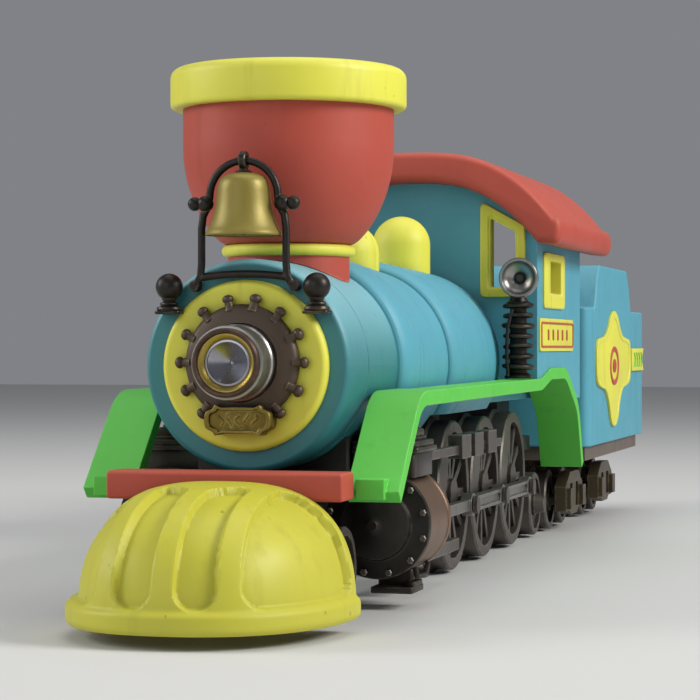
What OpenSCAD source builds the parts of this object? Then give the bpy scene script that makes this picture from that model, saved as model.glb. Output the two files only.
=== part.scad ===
// Toy steam locomotive with its tender. Front towards -Y, left-hand side towards +X, wheels standing on z = 0.
// Lengthwise places are counted from the face of the smokebox door; at_train() moves them to the middle of the train.

/* [Boiler] */
// Height of the boiler's axis
boiler_z = 76; // [74:1:80]
// Radius of the front boiler section
boiler_r = 32.6; // [30:0.2:33]
// Radius of the middle and rear sections at their shoulders
band_r = 36.2; // [33:0.2:36.4]
// Bore of the boiler shell
boiler_bore_r = 29; // [20:0.5:29]
// Width of the seam lines round the boiler
seam_w = 0.8; // [0.4:0.1:1.5]

/* [Smokebox and headlight] */
// Radius of the yellow smokebox door
door_r = 25.8; // [22:0.2:27]
// Radius of the headlight's studded base
base_r = 17.5; // [14:0.5:20]
// Number of studs round the base
stud_count = 14; // [8:1:20]
// Radius of the headlight barrel
lamp_r = 11; // [8:0.5:13]
// Length of the headlight barrel
lamp_len = 14; // [10:0.5:18]
// Radius of the marker lamps
marker_r = 4.1; // [3:0.1:5]

/* [Stack and domes] */
// Lengthwise place of the stack
stack_y = 47; // [44:1:50]
// Outer radius of the stack's rim
rim_r = 37.6; // [34:0.2:42]
// Height of the stack's rim
rim_h = 13; // [8:1:16]
// Height of the rim's lower edge above the floor
rim_z = 157; // [154:1:170]
// Radius of the stack's neck
neck_r = 19.4; // [16:0.2:20]
// Radius of the domes
dome_r = 11; // [8:0.5:14]
// Height of the front dome's top
front_dome_z = 125; // [120:1:128]
// Height of the rear dome's top
rear_dome_z = 131.5; // [124:0.5:134]

/* [Bell] */
// Height of the bell's swing axis
bell_z = 137.4; // [134:0.2:140]
// Mouth radius of the bell
bell_mouth_r = 11.2; // [9:0.1:11.4]
// Radius of the bell below its crown
bell_r = 7.7; // [6.6:0.1:8.4]
// Wall of the bell
bell_wall = 1.4; // [1:0.1:2]
// Thickness of the bracket's rod
bell_rod_r = 1.1; // [0.9:0.05:1.3]

/* [Cab] */
// Half width over the cab's walls
cab_half_w = 48; // [44:0.5:49]
// Thickness of the cab's walls
cab_wall = 2.6; // [2:0.1:4]
// Length of the cab's side walls
cab_len = 105; // [95:1:108]
// Half width of the roof
roof_half_w = 60; // [56:0.5:64]
// Height of the roof's crown
roof_z = 157; // [154:1:166]
// Thickness of the roof at its crown
roof_t = 11.3; // [8:0.1:12]
// Length of the roof
roof_len = 134; // [120:1:136]
// How far the yellow window frames stand off the walls
frame_t = 1.2; // [0.8:0.1:2]

/* [Running boards] */
// Outer half width of the running boards
board_half_w = 49; // [46:0.5:52]
// Thickness of the running boards
board_t = 4.6; // [3:0.1:5.5]

/* [Cowcatcher] */
// Half width of the cowcatcher
catcher_half_w = 41.5; // [36:0.5:46]
// How far the cowcatcher reaches forward of the beam
catcher_len = 57; // [45:1:70]
// Height of the cowcatcher
catcher_h = 40; // [32:1:40]
// Depth of the cowcatcher's recessed panels
panel_depth = 1.8; // [0.6:0.1:2.4]

/* [Wheels] */
// Tread radius of the drive wheels
driver_r = 27; // [22:0.5:27.4]
// Distance between the drive axles
driver_pitch = 58; // [58:1:60]
// Crank radius
crank_r = 9; // [6:0.5:9]
// How far below its axle each left crankpin rests, as an angle
crank_rest = 25.7; // [0:0.1:45]
// Tread radius of the pilot and trailing wheels
small_wheel_r = 13.4; // [11:0.2:14]
// Tread radius of the tender's wheels
tender_wheel_r = 13; // [11:0.2:13.4]
// Height of the flanges over the treads
flange_h = 1.2; // [0.8:0.1:1.4]
// Distance between the backs of the wheels
back_to_back = 42; // [40:0.5:44]
// Number of spokes in a drive wheel
spoke_count = 12; // [8:1:16]
// Radius of the axles
axle_r = 3; // [2:0.1:3.4]

/* [Cylinders] */
// Outer radius of the cylinders
cyl_r = 16.5; // [15:0.1:16.6]
// Bore of the cylinders
cyl_bore_r = 14; // [13.4:0.1:14.6]
// Length of the cylinder barrel
cyl_len = 31; // [28:1:34]

/* [Tender] */
// Half width of the tender's body
tender_half_w = 50; // [44:0.5:52]
// Length of the tender's body
tender_len = 178; // [172:1:190]
// Height of the tender's side tops
tender_z = 99; // [90:1:106]
// Height of the raised block's top
block_z = 118.3; // [106:0.1:119]
// Wheelbase of a tender truck
truck_base = 34; // [32:1:36]

/* [Fits] */
// Radial clearance of axles, pins and cranks in their bores
run_clear = 0.05; // [0.02:0.01:0.09]
// Clearance between pieces that move past each other
gap = 0.3; // [0.3:0.1:0.8]

/* [Hidden] */
$fn = 64;

// Lengthwise places, from the smokebox door's face
face_y = 1;
door_y = -2;
mid_y0 = 60;
rear_y0 = 134;
band_len = 6;
well_y = 126;
beam_y0 = -23;
beam_y1 = -9.4;
cab_y = 230;
roof_y = 214;
cyl_y = 30;
cyl_x = 33.6;
cyl_z = 27;
pilot_y = 4;
main_axle_y = 218;
trail_y = 328;
trail_pivot_y = 308;
draw_y = 330;
tender_y = 348;
coupler_len = 22;
coupler_y = tender_y + tender_len - 6;
front_end = beam_y0 - catcher_len;
rear_end = coupler_y + coupler_len;
mid_y = (front_end + rear_end) / 2;

// Heights
deck_z0 = 37.5;
deck_z1 = 43.5;
well_z = driver_r + 2 * flange_h + driver_r + 1.6;
board_z = 66.3;
floor_z0 = 60;
catcher_z = 4;
tender_z0 = 38;
sill_z0 = 32;

// Wheels and cranks
driver_z = driver_r + flange_h;
small_z = small_wheel_r + flange_h;
tender_axle_z = tender_wheel_r + flange_h;
wheel_x0 = back_to_back / 2;
flange_w = 2.2;
tread_w = 6.8;
wheel_x1 = wheel_x0 + flange_w + tread_w;
plate_x0 = 11;
plate_x1 = 15;
rod_x0 = wheel_x1 + 1.5;
rod_w = 4;
crank_pin_r = 2.2;
pin_head_r = 3.2;
rod_y0 = cyl_y + 7;
pin_r = 3;
pin_head = 5.5;

// Moves a shape from door-face places to the middle of the train
module at_train() {
    translate([0, -mid_y, 0])
        children();
}

// Extrudes a (y, z) outline from x0 to x1
module along_x(x0, x1) {
    translate([x0, 0, 0])
        rotate([90, 0, 90])
            linear_extrude(x1 - x0)
                children();
}

// Extrudes an (x, z) outline from y0 to y1
module along_y(y0, y1) {
    translate([0, y1, 0])
        rotate([90, 0, 0])
            linear_extrude(y1 - y0)
                children();
}

// Turns an (r, y) outline round a lengthwise axis at (x, z)
module turn_y(x, z) {
    translate([x, 0, z])
        rotate([-90, 0, 0])
            rotate_extrude()
                children();
}

// Turns an (r, x) outline round a cross axis at (y, z)
module turn_x(y, z) {
    translate([0, y, z])
        rotate([0, 90, 0])
            rotate_extrude()
                children();
}

// Turns an (r, z) outline round an upright axis at (x, y)
module turn_z(x, y) {
    translate([x, y, 0])
        rotate_extrude()
            children();
}

// A box from one corner to the other
module block(a, b) {
    translate(a)
        cube(b - a);
}

// A rod along X, Y or Z
module rod_along_x(x0, x1, y, z, r) {
    translate([x0, y, z])
        rotate([0, 90, 0])
            cylinder(r = r, h = x1 - x0);
}

module rod_along_y(x, y0, y1, z, r) {
    translate([x, y0, z])
        rotate([-90, 0, 0])
            cylinder(r = r, h = y1 - y0);
}

module rod_along_z(x, y, z0, z1, r) {
    translate([x, y, z0])
        cylinder(r = r, h = z1 - z0);
}

// Points of a quarter ellipse from (r0, y0) to (r1, y1), leaving along r and arriving along y
function shoulder(r0, y0, r1, y1, n = 7) =
    [for (i = [0:n]) [r0 + (r1 - r0) * sin(90 * i / n), y1 - (y1 - y0) * cos(90 * i / n)]];

// The same curve run the other way, from (r0, y0) down to (r1, y1)
function round_off(r0, y0, r1, y1, n = 7) =
    [for (i = [0:n]) [r1 + (r0 - r1) * cos(90 * i / n), y0 + (y1 - y0) * sin(90 * i / n)]];

// A rectangle's corners rounded by r, from (x0, y0) to (x1, y1)
function rounded_box(x0, y0, x1, y1, r, n = 5) = [
    for (c = [[x1 - r, y1 - r, 0], [x0 + r, y1 - r, 90], [x0 + r, y0 + r, 180], [x1 - r, y0 + r, 270]])
        for (i = [0:n])
            [c.x + r * cos(c.z + 90 * i / n), c.y + r * sin(c.z + 90 * i / n)]
];

// The rounded corner at b, between the legs to a and to c
function unit2(v) = v / norm(v);
function corner(a, b, c, r, n) =
    let (u = unit2(a - b))
    let (w = unit2(c - b))
    let (half = acos(u * w) / 2)
    let (centre = b + unit2(u + w) * r / sin(half))
    let (p = b + u * r / tan(half) - centre)
    let (q = b + w * r / tan(half) - centre)
    let (a0 = atan2(p.y, p.x))
    let (turn = atan2(q.y, q.x) - a0)
    let (sweep = turn > 180 ? turn - 360 : turn < -180 ? turn + 360 : turn)
    [for (i = [0:n]) centre + r * [cos(a0 + sweep * i / n), sin(a0 + sweep * i / n)]];

function rounded_path(pts, radii, n = 6) = [
    pts[0],
    for (i = [1:len(pts) - 2])
        each corner(pts[i - 1], pts[i], pts[i + 1], radii[i - 1], n),
    pts[len(pts) - 1]
];

// A strip of thickness t centred on a path
function across(path, i) =
    let (d = unit2(path[min(i + 1, len(path) - 1)] - path[max(i - 1, 0)]))
    [-d.y, d.x];
function strip(path, t) = concat(
    [for (i = [0:len(path) - 1]) path[i] + across(path, i) * t / 2],
    [for (i = [len(path) - 1:-1:0]) path[i] - across(path, i) * t / 2]
);

// ---- Boiler ----

// Everything under the boiler shell behind well_y is open for the drive wheels
module wheel_well() {
    block([-cab_half_w, well_y, 0], [cab_half_w, cab_y + 20, well_z]);
}

function seam(r, y) = [[r, y - seam_w / 2], [r - 0.6, y], [r, y + seam_w / 2]];

// Outer lines of the middle and rear sections, which domes and stack are cut to
middle_line = concat(
    shoulder(boiler_r, mid_y0, band_r, mid_y0 + band_len),
    seam(band_r - 0.1, mid_y0 + 18),
    [[band_r - 2.9, rear_y0]]
);
rear_line = concat(
    shoulder(band_r - 2.9, rear_y0, band_r + 0.2, rear_y0 + band_len),
    seam(band_r + 0.1, rear_y0 + 16),
    round_off(band_r - 1.2, roof_y + 2, band_r - 5, cab_y)
);

module boiler_front() {
    color("cadetblue")
        at_train()
            turn_y(0, boiler_z)
                polygon(concat(
                    [[0, face_y]],
                    shoulder(boiler_r - 2.2, face_y, boiler_r - 0.3, face_y + 3.4),
                    seam(boiler_r - 0.3, 23),
                    [[boiler_r, mid_y0], [boiler_bore_r, mid_y0], [boiler_bore_r, 5], [0, 5]]
                ));
}

module boiler_middle() {
    color("skyblue")
        at_train()
            difference() {
                turn_y(0, boiler_z)
                    polygon(concat([[boiler_bore_r, mid_y0]], middle_line, [[boiler_bore_r, rear_y0]]));
                wheel_well();
            }
}

module boiler_rear() {
    color("skyblue")
        at_train()
            difference() {
                turn_y(0, boiler_z)
                    polygon(concat([[boiler_bore_r, rear_y0]], rear_line, [[boiler_bore_r, cab_y]]));
                wheel_well();
            }
}

// ---- Smokebox door and headlight ----

head_z = boiler_z + 1;
base_y = -7;

module smokebox_door() {
    color("yellow")
        at_train()
            turn_y(0, boiler_z)
                polygon(concat(
                    [[0, face_y], [0, door_y]],
                    shoulder(door_r - 1.8, door_y, door_r, 0, 6),
                    [[door_r, face_y]]
                ));
}

module headlight_base() {
    color("dimgray")
        at_train()
            difference() {
                union() {
                    turn_y(0, head_z)
                        polygon(concat(
                            [[0, door_y], [0, base_y], [lamp_r + 1, base_y]],
                            shoulder(base_r - 1.6, base_y + 1, base_r, base_y + 2.4, 4),
                            [[base_r, door_y]]
                        ));
                    for (i = [0:stud_count - 1])
                        translate([0, base_y + 3, head_z])
                            rotate([0, i * 360 / stud_count, 0])
                                rod_along_z(0, 0, base_r - 1, base_r + 2.6, 1.4);
                }
                rod_along_y(0, base_y - 1, base_y + 2, head_z, lamp_r - 2);
            }
}

module headlight_barrel() {
    color("silver")
        at_train()
            turn_y(0, head_z)
                polygon([
                    [lamp_r - 2.2, base_y + 2], [lamp_r - 2.2, base_y - lamp_len + 3],
                    [lamp_r - 0.4, base_y - lamp_len + 3], [lamp_r, base_y - lamp_len + 4],
                    [lamp_r, base_y - 4], [lamp_r + 0.5, base_y - 3.4], [lamp_r + 0.5, base_y],
                    [lamp_r - 2, base_y], [lamp_r - 2, base_y + 2]
                ]);
}

module headlight_rim() {
    color("saddlebrown")
        at_train()
            turn_y(0, head_z)
                polygon(concat(
                    [[lamp_r - 2.8, base_y - lamp_len + 3]],
                    [[lamp_r - 2.8, base_y - lamp_len + 1], [lamp_r - 1.6, base_y - lamp_len]],
                    shoulder(lamp_r - 0.6, base_y - lamp_len, lamp_r + 0.6, base_y - lamp_len + 1.4, 4),
                    [[lamp_r + 0.6, base_y - lamp_len + 3]]
                ));
}

module headlight_reflector() {
    color("gold")
        at_train()
            turn_y(0, head_z)
                polygon([
                    [0, base_y + 2], [0, base_y - lamp_len + 7], [1.6, base_y - lamp_len + 6.4],
                    [lamp_r - 4.4, base_y - lamp_len + 3.4], [lamp_r - 2.8, base_y - lamp_len + 3],
                    [lamp_r - 2.2, base_y - lamp_len + 3], [lamp_r - 2.2, base_y + 2]
                ]);
}

// The plate's scrolled face is a row of raised bars
plate_bars = 5;
module number_plate() {
    plate_z = head_z - base_r;
    color("darkgoldenrod")
        at_train() {
            difference() {
                along_y(base_y - 2, door_y)
                    polygon(rounded_box(-9.5, plate_z - 4, 9.5, plate_z + 4, 1.6));
                turn_y(0, head_z)
                    polygon([[0, base_y], [base_r, base_y], [base_r, 1], [0, 1]]);
                for (i = [0:stud_count - 1])
                    translate([0, base_y + 3, head_z])
                        rotate([0, i * 360 / stud_count, 0])
                            rod_along_z(0, 0, base_r - 1, base_r + 2.7, 1.5);
                along_y(base_y - 3, base_y - 1.4)
                    polygon(rounded_box(-8.3, plate_z - 2.9, 8.3, plate_z + 2.9, 1));
            }
            for (i = [0:plate_bars - 1])
                rod_along_y((i - (plate_bars - 1) / 2) * 3.2, base_y - 2, base_y - 1.2, plate_z, 1.3);
        }
}

// Room for the door, which the pieces mounted round it keep clear of
module door_space() {
    rod_along_y(0, door_y - 4, face_y, boiler_z, door_r + gap);
}

marker_x = 23;

module marker_lamp(side) {
    ball_z = boiler_z + 23.7;
    ball_y = face_y - marker_r - 0.2;
    at_train()
        difference() {
            union() {
                block(
                    [side * marker_x - 4, ball_y - 2, ball_z - 7.4],
                    [side * marker_x + 4, face_y, ball_z - 5.6]
                );
                rod_along_z(side * marker_x, ball_y, ball_z - 5.6, ball_z - 4.2, 2.7);
                rod_along_z(side * marker_x, ball_y, ball_z - 4.2, ball_z - 3, 2);
                translate([side * marker_x, ball_y, ball_z])
                    sphere(r = marker_r);
            }
            door_space();
        }
}

// ---- Stack and domes ----

bowl_h = rim_z + 2 - 114;
neck_top = 110.2;
collar_top = 114;

module boiler_hole() {
    rod_along_y(0, face_y - 1, mid_y0, boiler_z, boiler_r);
    turn_y(0, boiler_z)
        polygon(concat([[0, mid_y0]], middle_line, [[0, rear_y0]]));
}

module stack_neck() {
    color("firebrick")
        at_train()
            difference() {
                rod_along_z(0, stack_y, boiler_z + 10, neck_top, neck_r);
                rod_along_z(0, stack_y, boiler_z, neck_top + 1, neck_r - 3);
                boiler_hole();
            }
}

module stack_collar() {
    color("yellow")
        at_train()
            difference() {
                turn_z(0, stack_y)
                    polygon(concat(
                        [[neck_r - 3, neck_top]],
                        [for (a = [-90:22.5:90])
                            [neck_r + 1.9 * cos(a), (neck_top + collar_top) / 2 + 1.9 * sin(a)]],
                        [[neck_r - 3, collar_top]]
                    ));
                boiler_hole();
            }
}

// Outer radius of the bowl at a share t of its height
function bowl_r(t) = neck_r + (rim_r - 4 - neck_r) * pow(sin(90 * min(1, t * 1.45)), 0.62);

module stack_bowl() {
    wall = 4;
    floor_z = collar_top + 0.66 * bowl_h;
    color("indianred")
        at_train()
            turn_z(0, stack_y)
                polygon(concat(
                    [[0, collar_top]],
                    [for (i = [0:14]) [bowl_r(i / 14), collar_top + bowl_h * i / 14 * 0.9999]],
                    [[bowl_r(1) - wall, collar_top + bowl_h], [bowl_r(1) - wall, floor_z + 2]],
                    [[bowl_r(1) - wall - 2, floor_z], [0, floor_z]]
                ));
}

module stack_rim() {
    seat_r = bowl_r(1);
    color("yellow")
        at_train()
            turn_z(0, stack_y)
                polygon(concat(
                    [[seat_r, rim_z], [rim_r - 2.2, rim_z]],
                    [for (a = [-60:30:0]) [rim_r - 2.2 + 2.2 * cos(a), rim_z + 2.2 + 2.2 * sin(a)]],
                    [for (a = [0:30:90]) [rim_r - 2.6 + 2.6 * cos(a), rim_z + rim_h - 2.6 + 2.6 * sin(a)]],
                    [for (a = [90:30:180]) [seat_r - 2.4 + 1.6 * cos(a), rim_z + rim_h - 1.6 + 1.6 * sin(a)]],
                    [[seat_r - 4, rim_z + 2], [seat_r, rim_z + 2]]
                ));
}

module dome(y, top) {
    difference() {
        turn_z(0, y)
            polygon(concat(
                [[0, boiler_z + 20], [dome_r, boiler_z + 20]],
                [for (a = [0:9:90]) [dome_r * cos(a), top - dome_r + dome_r * sin(a)]]
            ));
        turn_y(0, boiler_z)
            polygon(concat([[0, mid_y0]], middle_line, rear_line, [[0, cab_y]]));
        block([-20, cab_y, 0], [20, cab_y + 30, 200]);
    }
}

module front_dome() {
    color("yellow")
        at_train()
            dome(122, front_dome_z);
}

module rear_dome() {
    color("yellow")
        at_train()
            dome(204, rear_dome_z);
}

// ---- Bell ----

bell_y = -2;
arch_r = 10.6;
post_x = bell_mouth_r + bell_rod_r + 0.9;
foot_z = 101;

// A round rod from one point to another
module strut(a, b, r) {
    d = b - a;
    translate(a)
        rotate([0, acos(d.z / norm(d)), atan2(d.y, d.x)])
            cylinder(r = r, h = norm(d));
}

module bell_bracket() {
    arch_z = bell_z - arch_r;
    color("dimgray")
        at_train() {
            translate([0, bell_y, arch_z])
                rotate([90, 0, 0])
                    rotate_extrude(angle = 180)
                        translate([arch_r, 0])
                            circle(r = bell_rod_r);
            for (side = [-1, 1]) {
                strut([side * arch_r, bell_y, arch_z], [side * post_x, bell_y, 119], bell_rod_r);
                translate([side * arch_r, bell_y, arch_z])
                    sphere(r = bell_rod_r + 0.2);
                translate([side * post_x, bell_y, 119])
                    sphere(r = bell_rod_r + 0.2);
                rod_along_z(side * post_x, bell_y, foot_z, 119, bell_rod_r);
                translate([side * (arch_r + 1.9), bell_y, arch_z - 2.4])
                    sphere(r = 2.6);
                rod_along_x(
                    side > 0 ? arch_r + 4 : -arch_r - 6, side > 0 ? arch_r + 6 : -arch_r - 4,
                    bell_y, arch_z - 2.4, 1.8
                );
                difference() {
                    block(
                        [side * post_x - 2.4, bell_y - 1.6, foot_z - 2.4],
                        [side * post_x + 2.4, face_y, foot_z + 2]
                    );
                    door_space();
                }
            }
            rod_along_x(-post_x, post_x, bell_y, foot_z + 3, bell_rod_r);
        }
}

crown_z = bell_z - 3.6;
mouth_z = 115;

function bell_out(t) = bell_r + (bell_mouth_r - bell_r) * pow(1 - t, 2);

module bell() {
    body_h = crown_z - 4 - mouth_z;
    pin_z = crown_z - 4.6;
    color("gold")
        at_train() {
            difference() {
                turn_z(0, bell_y)
                    polygon(concat(
                        [for (i = [0:8]) [bell_out(i / 8), mouth_z + body_h * i / 8]],
                        [for (a = [15:15:75]) [bell_r * cos(a), crown_z - 4 + 4 * sin(a)]],
                        [[0, crown_z], [0, crown_z - bell_wall]],
                        [for (a = [75:-15:15])
                            [(bell_r - bell_wall) * cos(a), crown_z - 4 + (4 - bell_wall) * sin(a)]],
                        [for (i = [8:-1:0]) [bell_out(i / 8) - bell_wall, mouth_z + body_h * i / 8]]
                    ));
                rod_along_x(-9, 9, bell_y, pin_z, 0.6);
            }
            rod_along_x(-7, 7, bell_y, pin_z, 0.6);
            difference() {
                union() {
                    rod_along_x(-1.25, 1.25, bell_y, bell_z, bell_rod_r + 1.7);
                    block([-1.25, bell_y - 1.5, crown_z - 0.6], [1.25, bell_y + 1.5, bell_z]);
                }
                rod_along_x(-2, 2, bell_y, bell_z, bell_rod_r + gap);
            }
        }
}

module bell_clapper() {
    pin_z = crown_z - 4.6;
    color("dimgray")
        at_train()
            difference() {
                union() {
                    rod_along_x(-1, 1, bell_y, pin_z, 1.5);
                    rod_along_z(0, bell_y, mouth_z + 2, pin_z - 0.8, 0.7);
                    translate([0, bell_y, mouth_z + 2.4])
                        sphere(r = 2.2);
                }
                rod_along_x(-2, 2, bell_y, pin_z, 0.6 + run_clear);
            }
}

// ---- Frame ----

catch_r = pin_r + run_clear;
truck_boss_r = 6;

// A pin that hangs from the frame and holds a swivelling piece on its head
module king_pin(y, z_top, z_head) {
    rod_along_z(0, y, z_head, z_top, pin_r);
    rod_along_z(0, y, z_head - 1.5, z_head, pin_head);
}

module side_plate(side) {
    along_x(side > 0 ? plate_x0 : -plate_x1, side > 0 ? plate_x1 : -plate_x0)
        difference() {
            polygon([
                [56, 30], [64, 22], [main_axle_y - driver_pitch - 8, 20], [main_axle_y + driver_pitch + 8, 20],
                [300, 26], [304, 38], [304, 48], [56, 48]
            ]);
            for (i = [-1:1])
                translate([main_axle_y + i * driver_pitch, driver_z])
                    circle(r = axle_r + run_clear);
            for (i = [0:1])
                polygon(rounded_box(
                    main_axle_y + (i - 1) * driver_pitch + 16, 26,
                    main_axle_y + i * driver_pitch - 16, 38, 3
                ));
        }
}

module main_frame() {
    rear_deck_y = main_axle_y + driver_pitch + driver_r + flange_h + 1.5;
    deck_x = cyl_x - cyl_r + 1;
    color("gray")
        at_train() {
            difference() {
                union() {
                    block([-30, beam_y1, deck_z0], [30, cyl_y - 10, deck_z1]);
                    block([-deck_x, beam_y1, deck_z0], [deck_x, 62, deck_z1]);
                    block([-24, 28, deck_z1], [24, 58, 60]);
                    for (side = [-1, 1])
                        side_plate(side);
                }
                rod_along_y(0, -20, mid_y0 - 1, boiler_z, boiler_r + 0.05);
                rod_along_y(0, mid_y0 - 1.5, well_y, boiler_z, band_r + gap);
            }
            block([-plate_x0, 56, 32], [plate_x0, 66, deck_z0]);
            block([-plate_x0, 292, 32], [plate_x0, trail_pivot_y - truck_boss_r - 1, 46]);
            block([-18, 298, deck_z0], [18, 336, deck_z1]);
            block([-26, rear_deck_y, deck_z0], [26, 336, deck_z1]);
            block([-18, 303, deck_z1], [18, 330, floor_z0]);
            king_pin(pilot_y, deck_z0, 20.2);
            king_pin(trail_pivot_y, deck_z0, 20.2);
            king_pin(draw_y, deck_z0, 30.6);
        }
}

module buffer_beam() {
    color("firebrick")
        at_train()
            along_x(-36, 36)
                polygon(rounded_box(beam_y0, 37, beam_y1, 45.3, 1.2));
}

// ---- Cowcatcher ----

function signed_pow(v, e) = sign(v) * pow(abs(v), e);

// 1 well inside a band from a to b, 0 outside it, with an edge of width w
function band(v, a, b, w) = min(1, max(0, min(v - a, b - v) / w));

// Depth of the recesses at a share of the width, the plan angle and the height angle
function recess(x, u, v) =
    let (high = band(v, 16, 74, 5))
    let (slot = band(abs(x), 3.6, 13.6, 1.8))
    let (side_panel = band(abs(x), 19, catcher_half_w, 2) * band(u > 90 ? 180 - u : u, 9, 90, 5))
    panel_depth * high * max(slot, side_panel);

function catcher_point(u, v, a, b, h) = [
    a * signed_pow(cos(v), 0.72) * signed_pow(cos(u), 0.86),
    -b * signed_pow(cos(v), 0.72) * signed_pow(sin(u), 0.86),
    h * signed_pow(sin(v), 0.72)
];

module cowcatcher() {
    nu = 48;
    nv = 16;
    wall = 4.5;
    function inset(u, v) =
        let (p = catcher_point(u, v, catcher_half_w, catcher_len, catcher_h))
        recess(p.x, u, v);
    function ring(v, outer) = [
        for (i = [0:nu])
            let (u = 180 * i / nu)
            let (d = outer ? inset(u, v) : wall)
            catcher_point(u, v, catcher_half_w - d, catcher_len - d, catcher_h - d)
    ];
    row = nu + 1;
    shell = row * nv;
    outer_apex = 2 * shell;
    inner_apex = outer_apex + 1;
    points = concat(
        [for (j = [0:nv - 1]) each ring(90 * j / nv, true)],
        [for (j = [0:nv - 1]) each ring(90 * j / nv, false)],
        [[0, 0, catcher_h], [0, 0, catcher_h - wall]]
    );
    faces = concat(
        [for (j = [0:nv - 2]) for (i = [0:nu - 1]) each [
            [j * row + i, (j + 1) * row + i, j * row + i + 1],
            [j * row + i + 1, (j + 1) * row + i, (j + 1) * row + i + 1]
        ]],
        [for (i = [0:nu - 1]) [(nv - 1) * row + i, outer_apex, (nv - 1) * row + i + 1]],
        [for (j = [0:nv - 2]) for (i = [0:nu - 1]) each [
            [shell + j * row + i, shell + j * row + i + 1, shell + (j + 1) * row + i],
            [shell + j * row + i + 1, shell + (j + 1) * row + i + 1, shell + (j + 1) * row + i]
        ]],
        [for (i = [0:nu - 1]) [shell + (nv - 1) * row + i, shell + (nv - 1) * row + i + 1, inner_apex]],
        [for (i = [0:nu - 1]) each [
            [i, i + 1, shell + i],
            [i + 1, shell + i + 1, shell + i]
        ]],
        [for (e = [0, nu]) for (j = [0:nv - 1])
            let (o0 = j * row + e)
            let (o1 = j < nv - 1 ? (j + 1) * row + e : outer_apex)
            let (i0 = shell + j * row + e)
            let (i1 = j < nv - 1 ? shell + (j + 1) * row + e : inner_apex)
            each (e == 0 ? [[o0, i0, o1], [o1, i0, i1]] : [[o0, o1, i0], [o1, i1, i0]])
        ]
    );
    color("yellow")
        at_train() {
            translate([0, beam_y0, catcher_z])
                polyhedron(points, faces);
        }
}

// ---- Running boards ----

board_path = rounded_path(
    [
        [-6, 37.6], [23, board_z - 0.4], [236, board_z + 0.8], [258, 71],
        [294, 71], [325, 56], [337, 31]
    ],
    [20, 20, 20, 30, 22], 10
);

// The boards are narrower beside the boiler and widest under the cab
module running_board(side) {
    fender_x = 31;
    narrow = boiler_r + 0.4;
    wide = band_r + 0.8;
    at_train()
        mirror([side > 0 ? 0 : 1, 0, 0]) {
            difference() {
                along_x(fender_x, board_half_w)
                    polygon(strip(board_path, board_t));
                block([fender_x - 1, -30, 0], [narrow, mid_y0 - 1, 100]);
                block([fender_x - 1, mid_y0 - 2, 0], [wide, cab_y, 100]);
            }
            block([36.4, beam_y1, 37], [45, -2.4, 43]);
        }
}

// ---- Cab ----

roof_drop = 30.5;
roof_foot = 50.5;
roof_foot_drop = 24;
function roof_out(x) = roof_z - roof_drop * pow(abs(x) / roof_half_w, 3);
function roof_in(x) = roof_z - roof_t - roof_foot_drop * pow(abs(x) / roof_foot, 2.6);

// The roof's section, drawn in by an inset on every side
function roof_section(inset) =
    let (w = roof_half_w - inset)
    let (foot = roof_foot + inset)
    concat(
        [for (i = [-12:12]) [w * i / 12, roof_out(roof_half_w * i / 12) - inset]],
        [[w, roof_in(roof_foot) - 1.8 + inset]],
        [for (i = [10:-1:-10]) [foot * i / 10, roof_in(roof_foot * i / 10) + inset]],
        [[-w, roof_in(roof_foot) - 1.8 + inset]]
    );

module cab_roof() {
    steps = 4;
    edge = 2.8;
    color("firebrick")
        at_train() {
            along_y(roof_y + edge, roof_y + roof_len - edge)
                polygon(roof_section(0));
            for (i = [0:steps - 1]) {
                reach = edge * sin(90 * (i + 1) / steps);
                shrink = edge * (1 - cos(90 * (i + 0.5) / steps)) * 0.8;
                along_y(roof_y + edge - reach, roof_y + roof_len - edge + reach)
                    polygon(roof_section(shrink));
            }
        }
}

under_roof = concat(
    [[-50, floor_z0]],
    [for (i = [-10:10]) [50 * i / 10, roof_in(50 * i / 10)]],
    [[50, floor_z0]]
);

// A closed outline with its corners rounded by r
function rounded_loop(pts, r, n = 4) = [
    for (i = [0:len(pts) - 1])
        each corner(pts[(i + len(pts) - 1) % len(pts)], pts[i], pts[(i + 1) % len(pts)], r, n)
];

// Outline of a front window, grown by g: its top slopes down towards the wall
front_win = [28.6, 104, 40.4, 127];
front_win_top = 133.6;
function window_out(g) =
    let (slope = (front_win[3] - front_win_top) / (front_win[2] - front_win[0]))
    let (lift = front_win_top + g * norm([1, slope]) - slope * front_win[0])
    let (x0 = front_win[0] - g)
    let (x1 = front_win[2] + g)
    rounded_loop([[x0, front_win[1] - g], [x0, lift + slope * x0], [x1, lift + slope * x1],
        [x1, front_win[1] - g]], 1 + g / 3);

side_win_y0 = cab_y + 24;
side_win_y1 = cab_y + 53;
side_win_z0 = 102;
side_win_z1 = 117;

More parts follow.
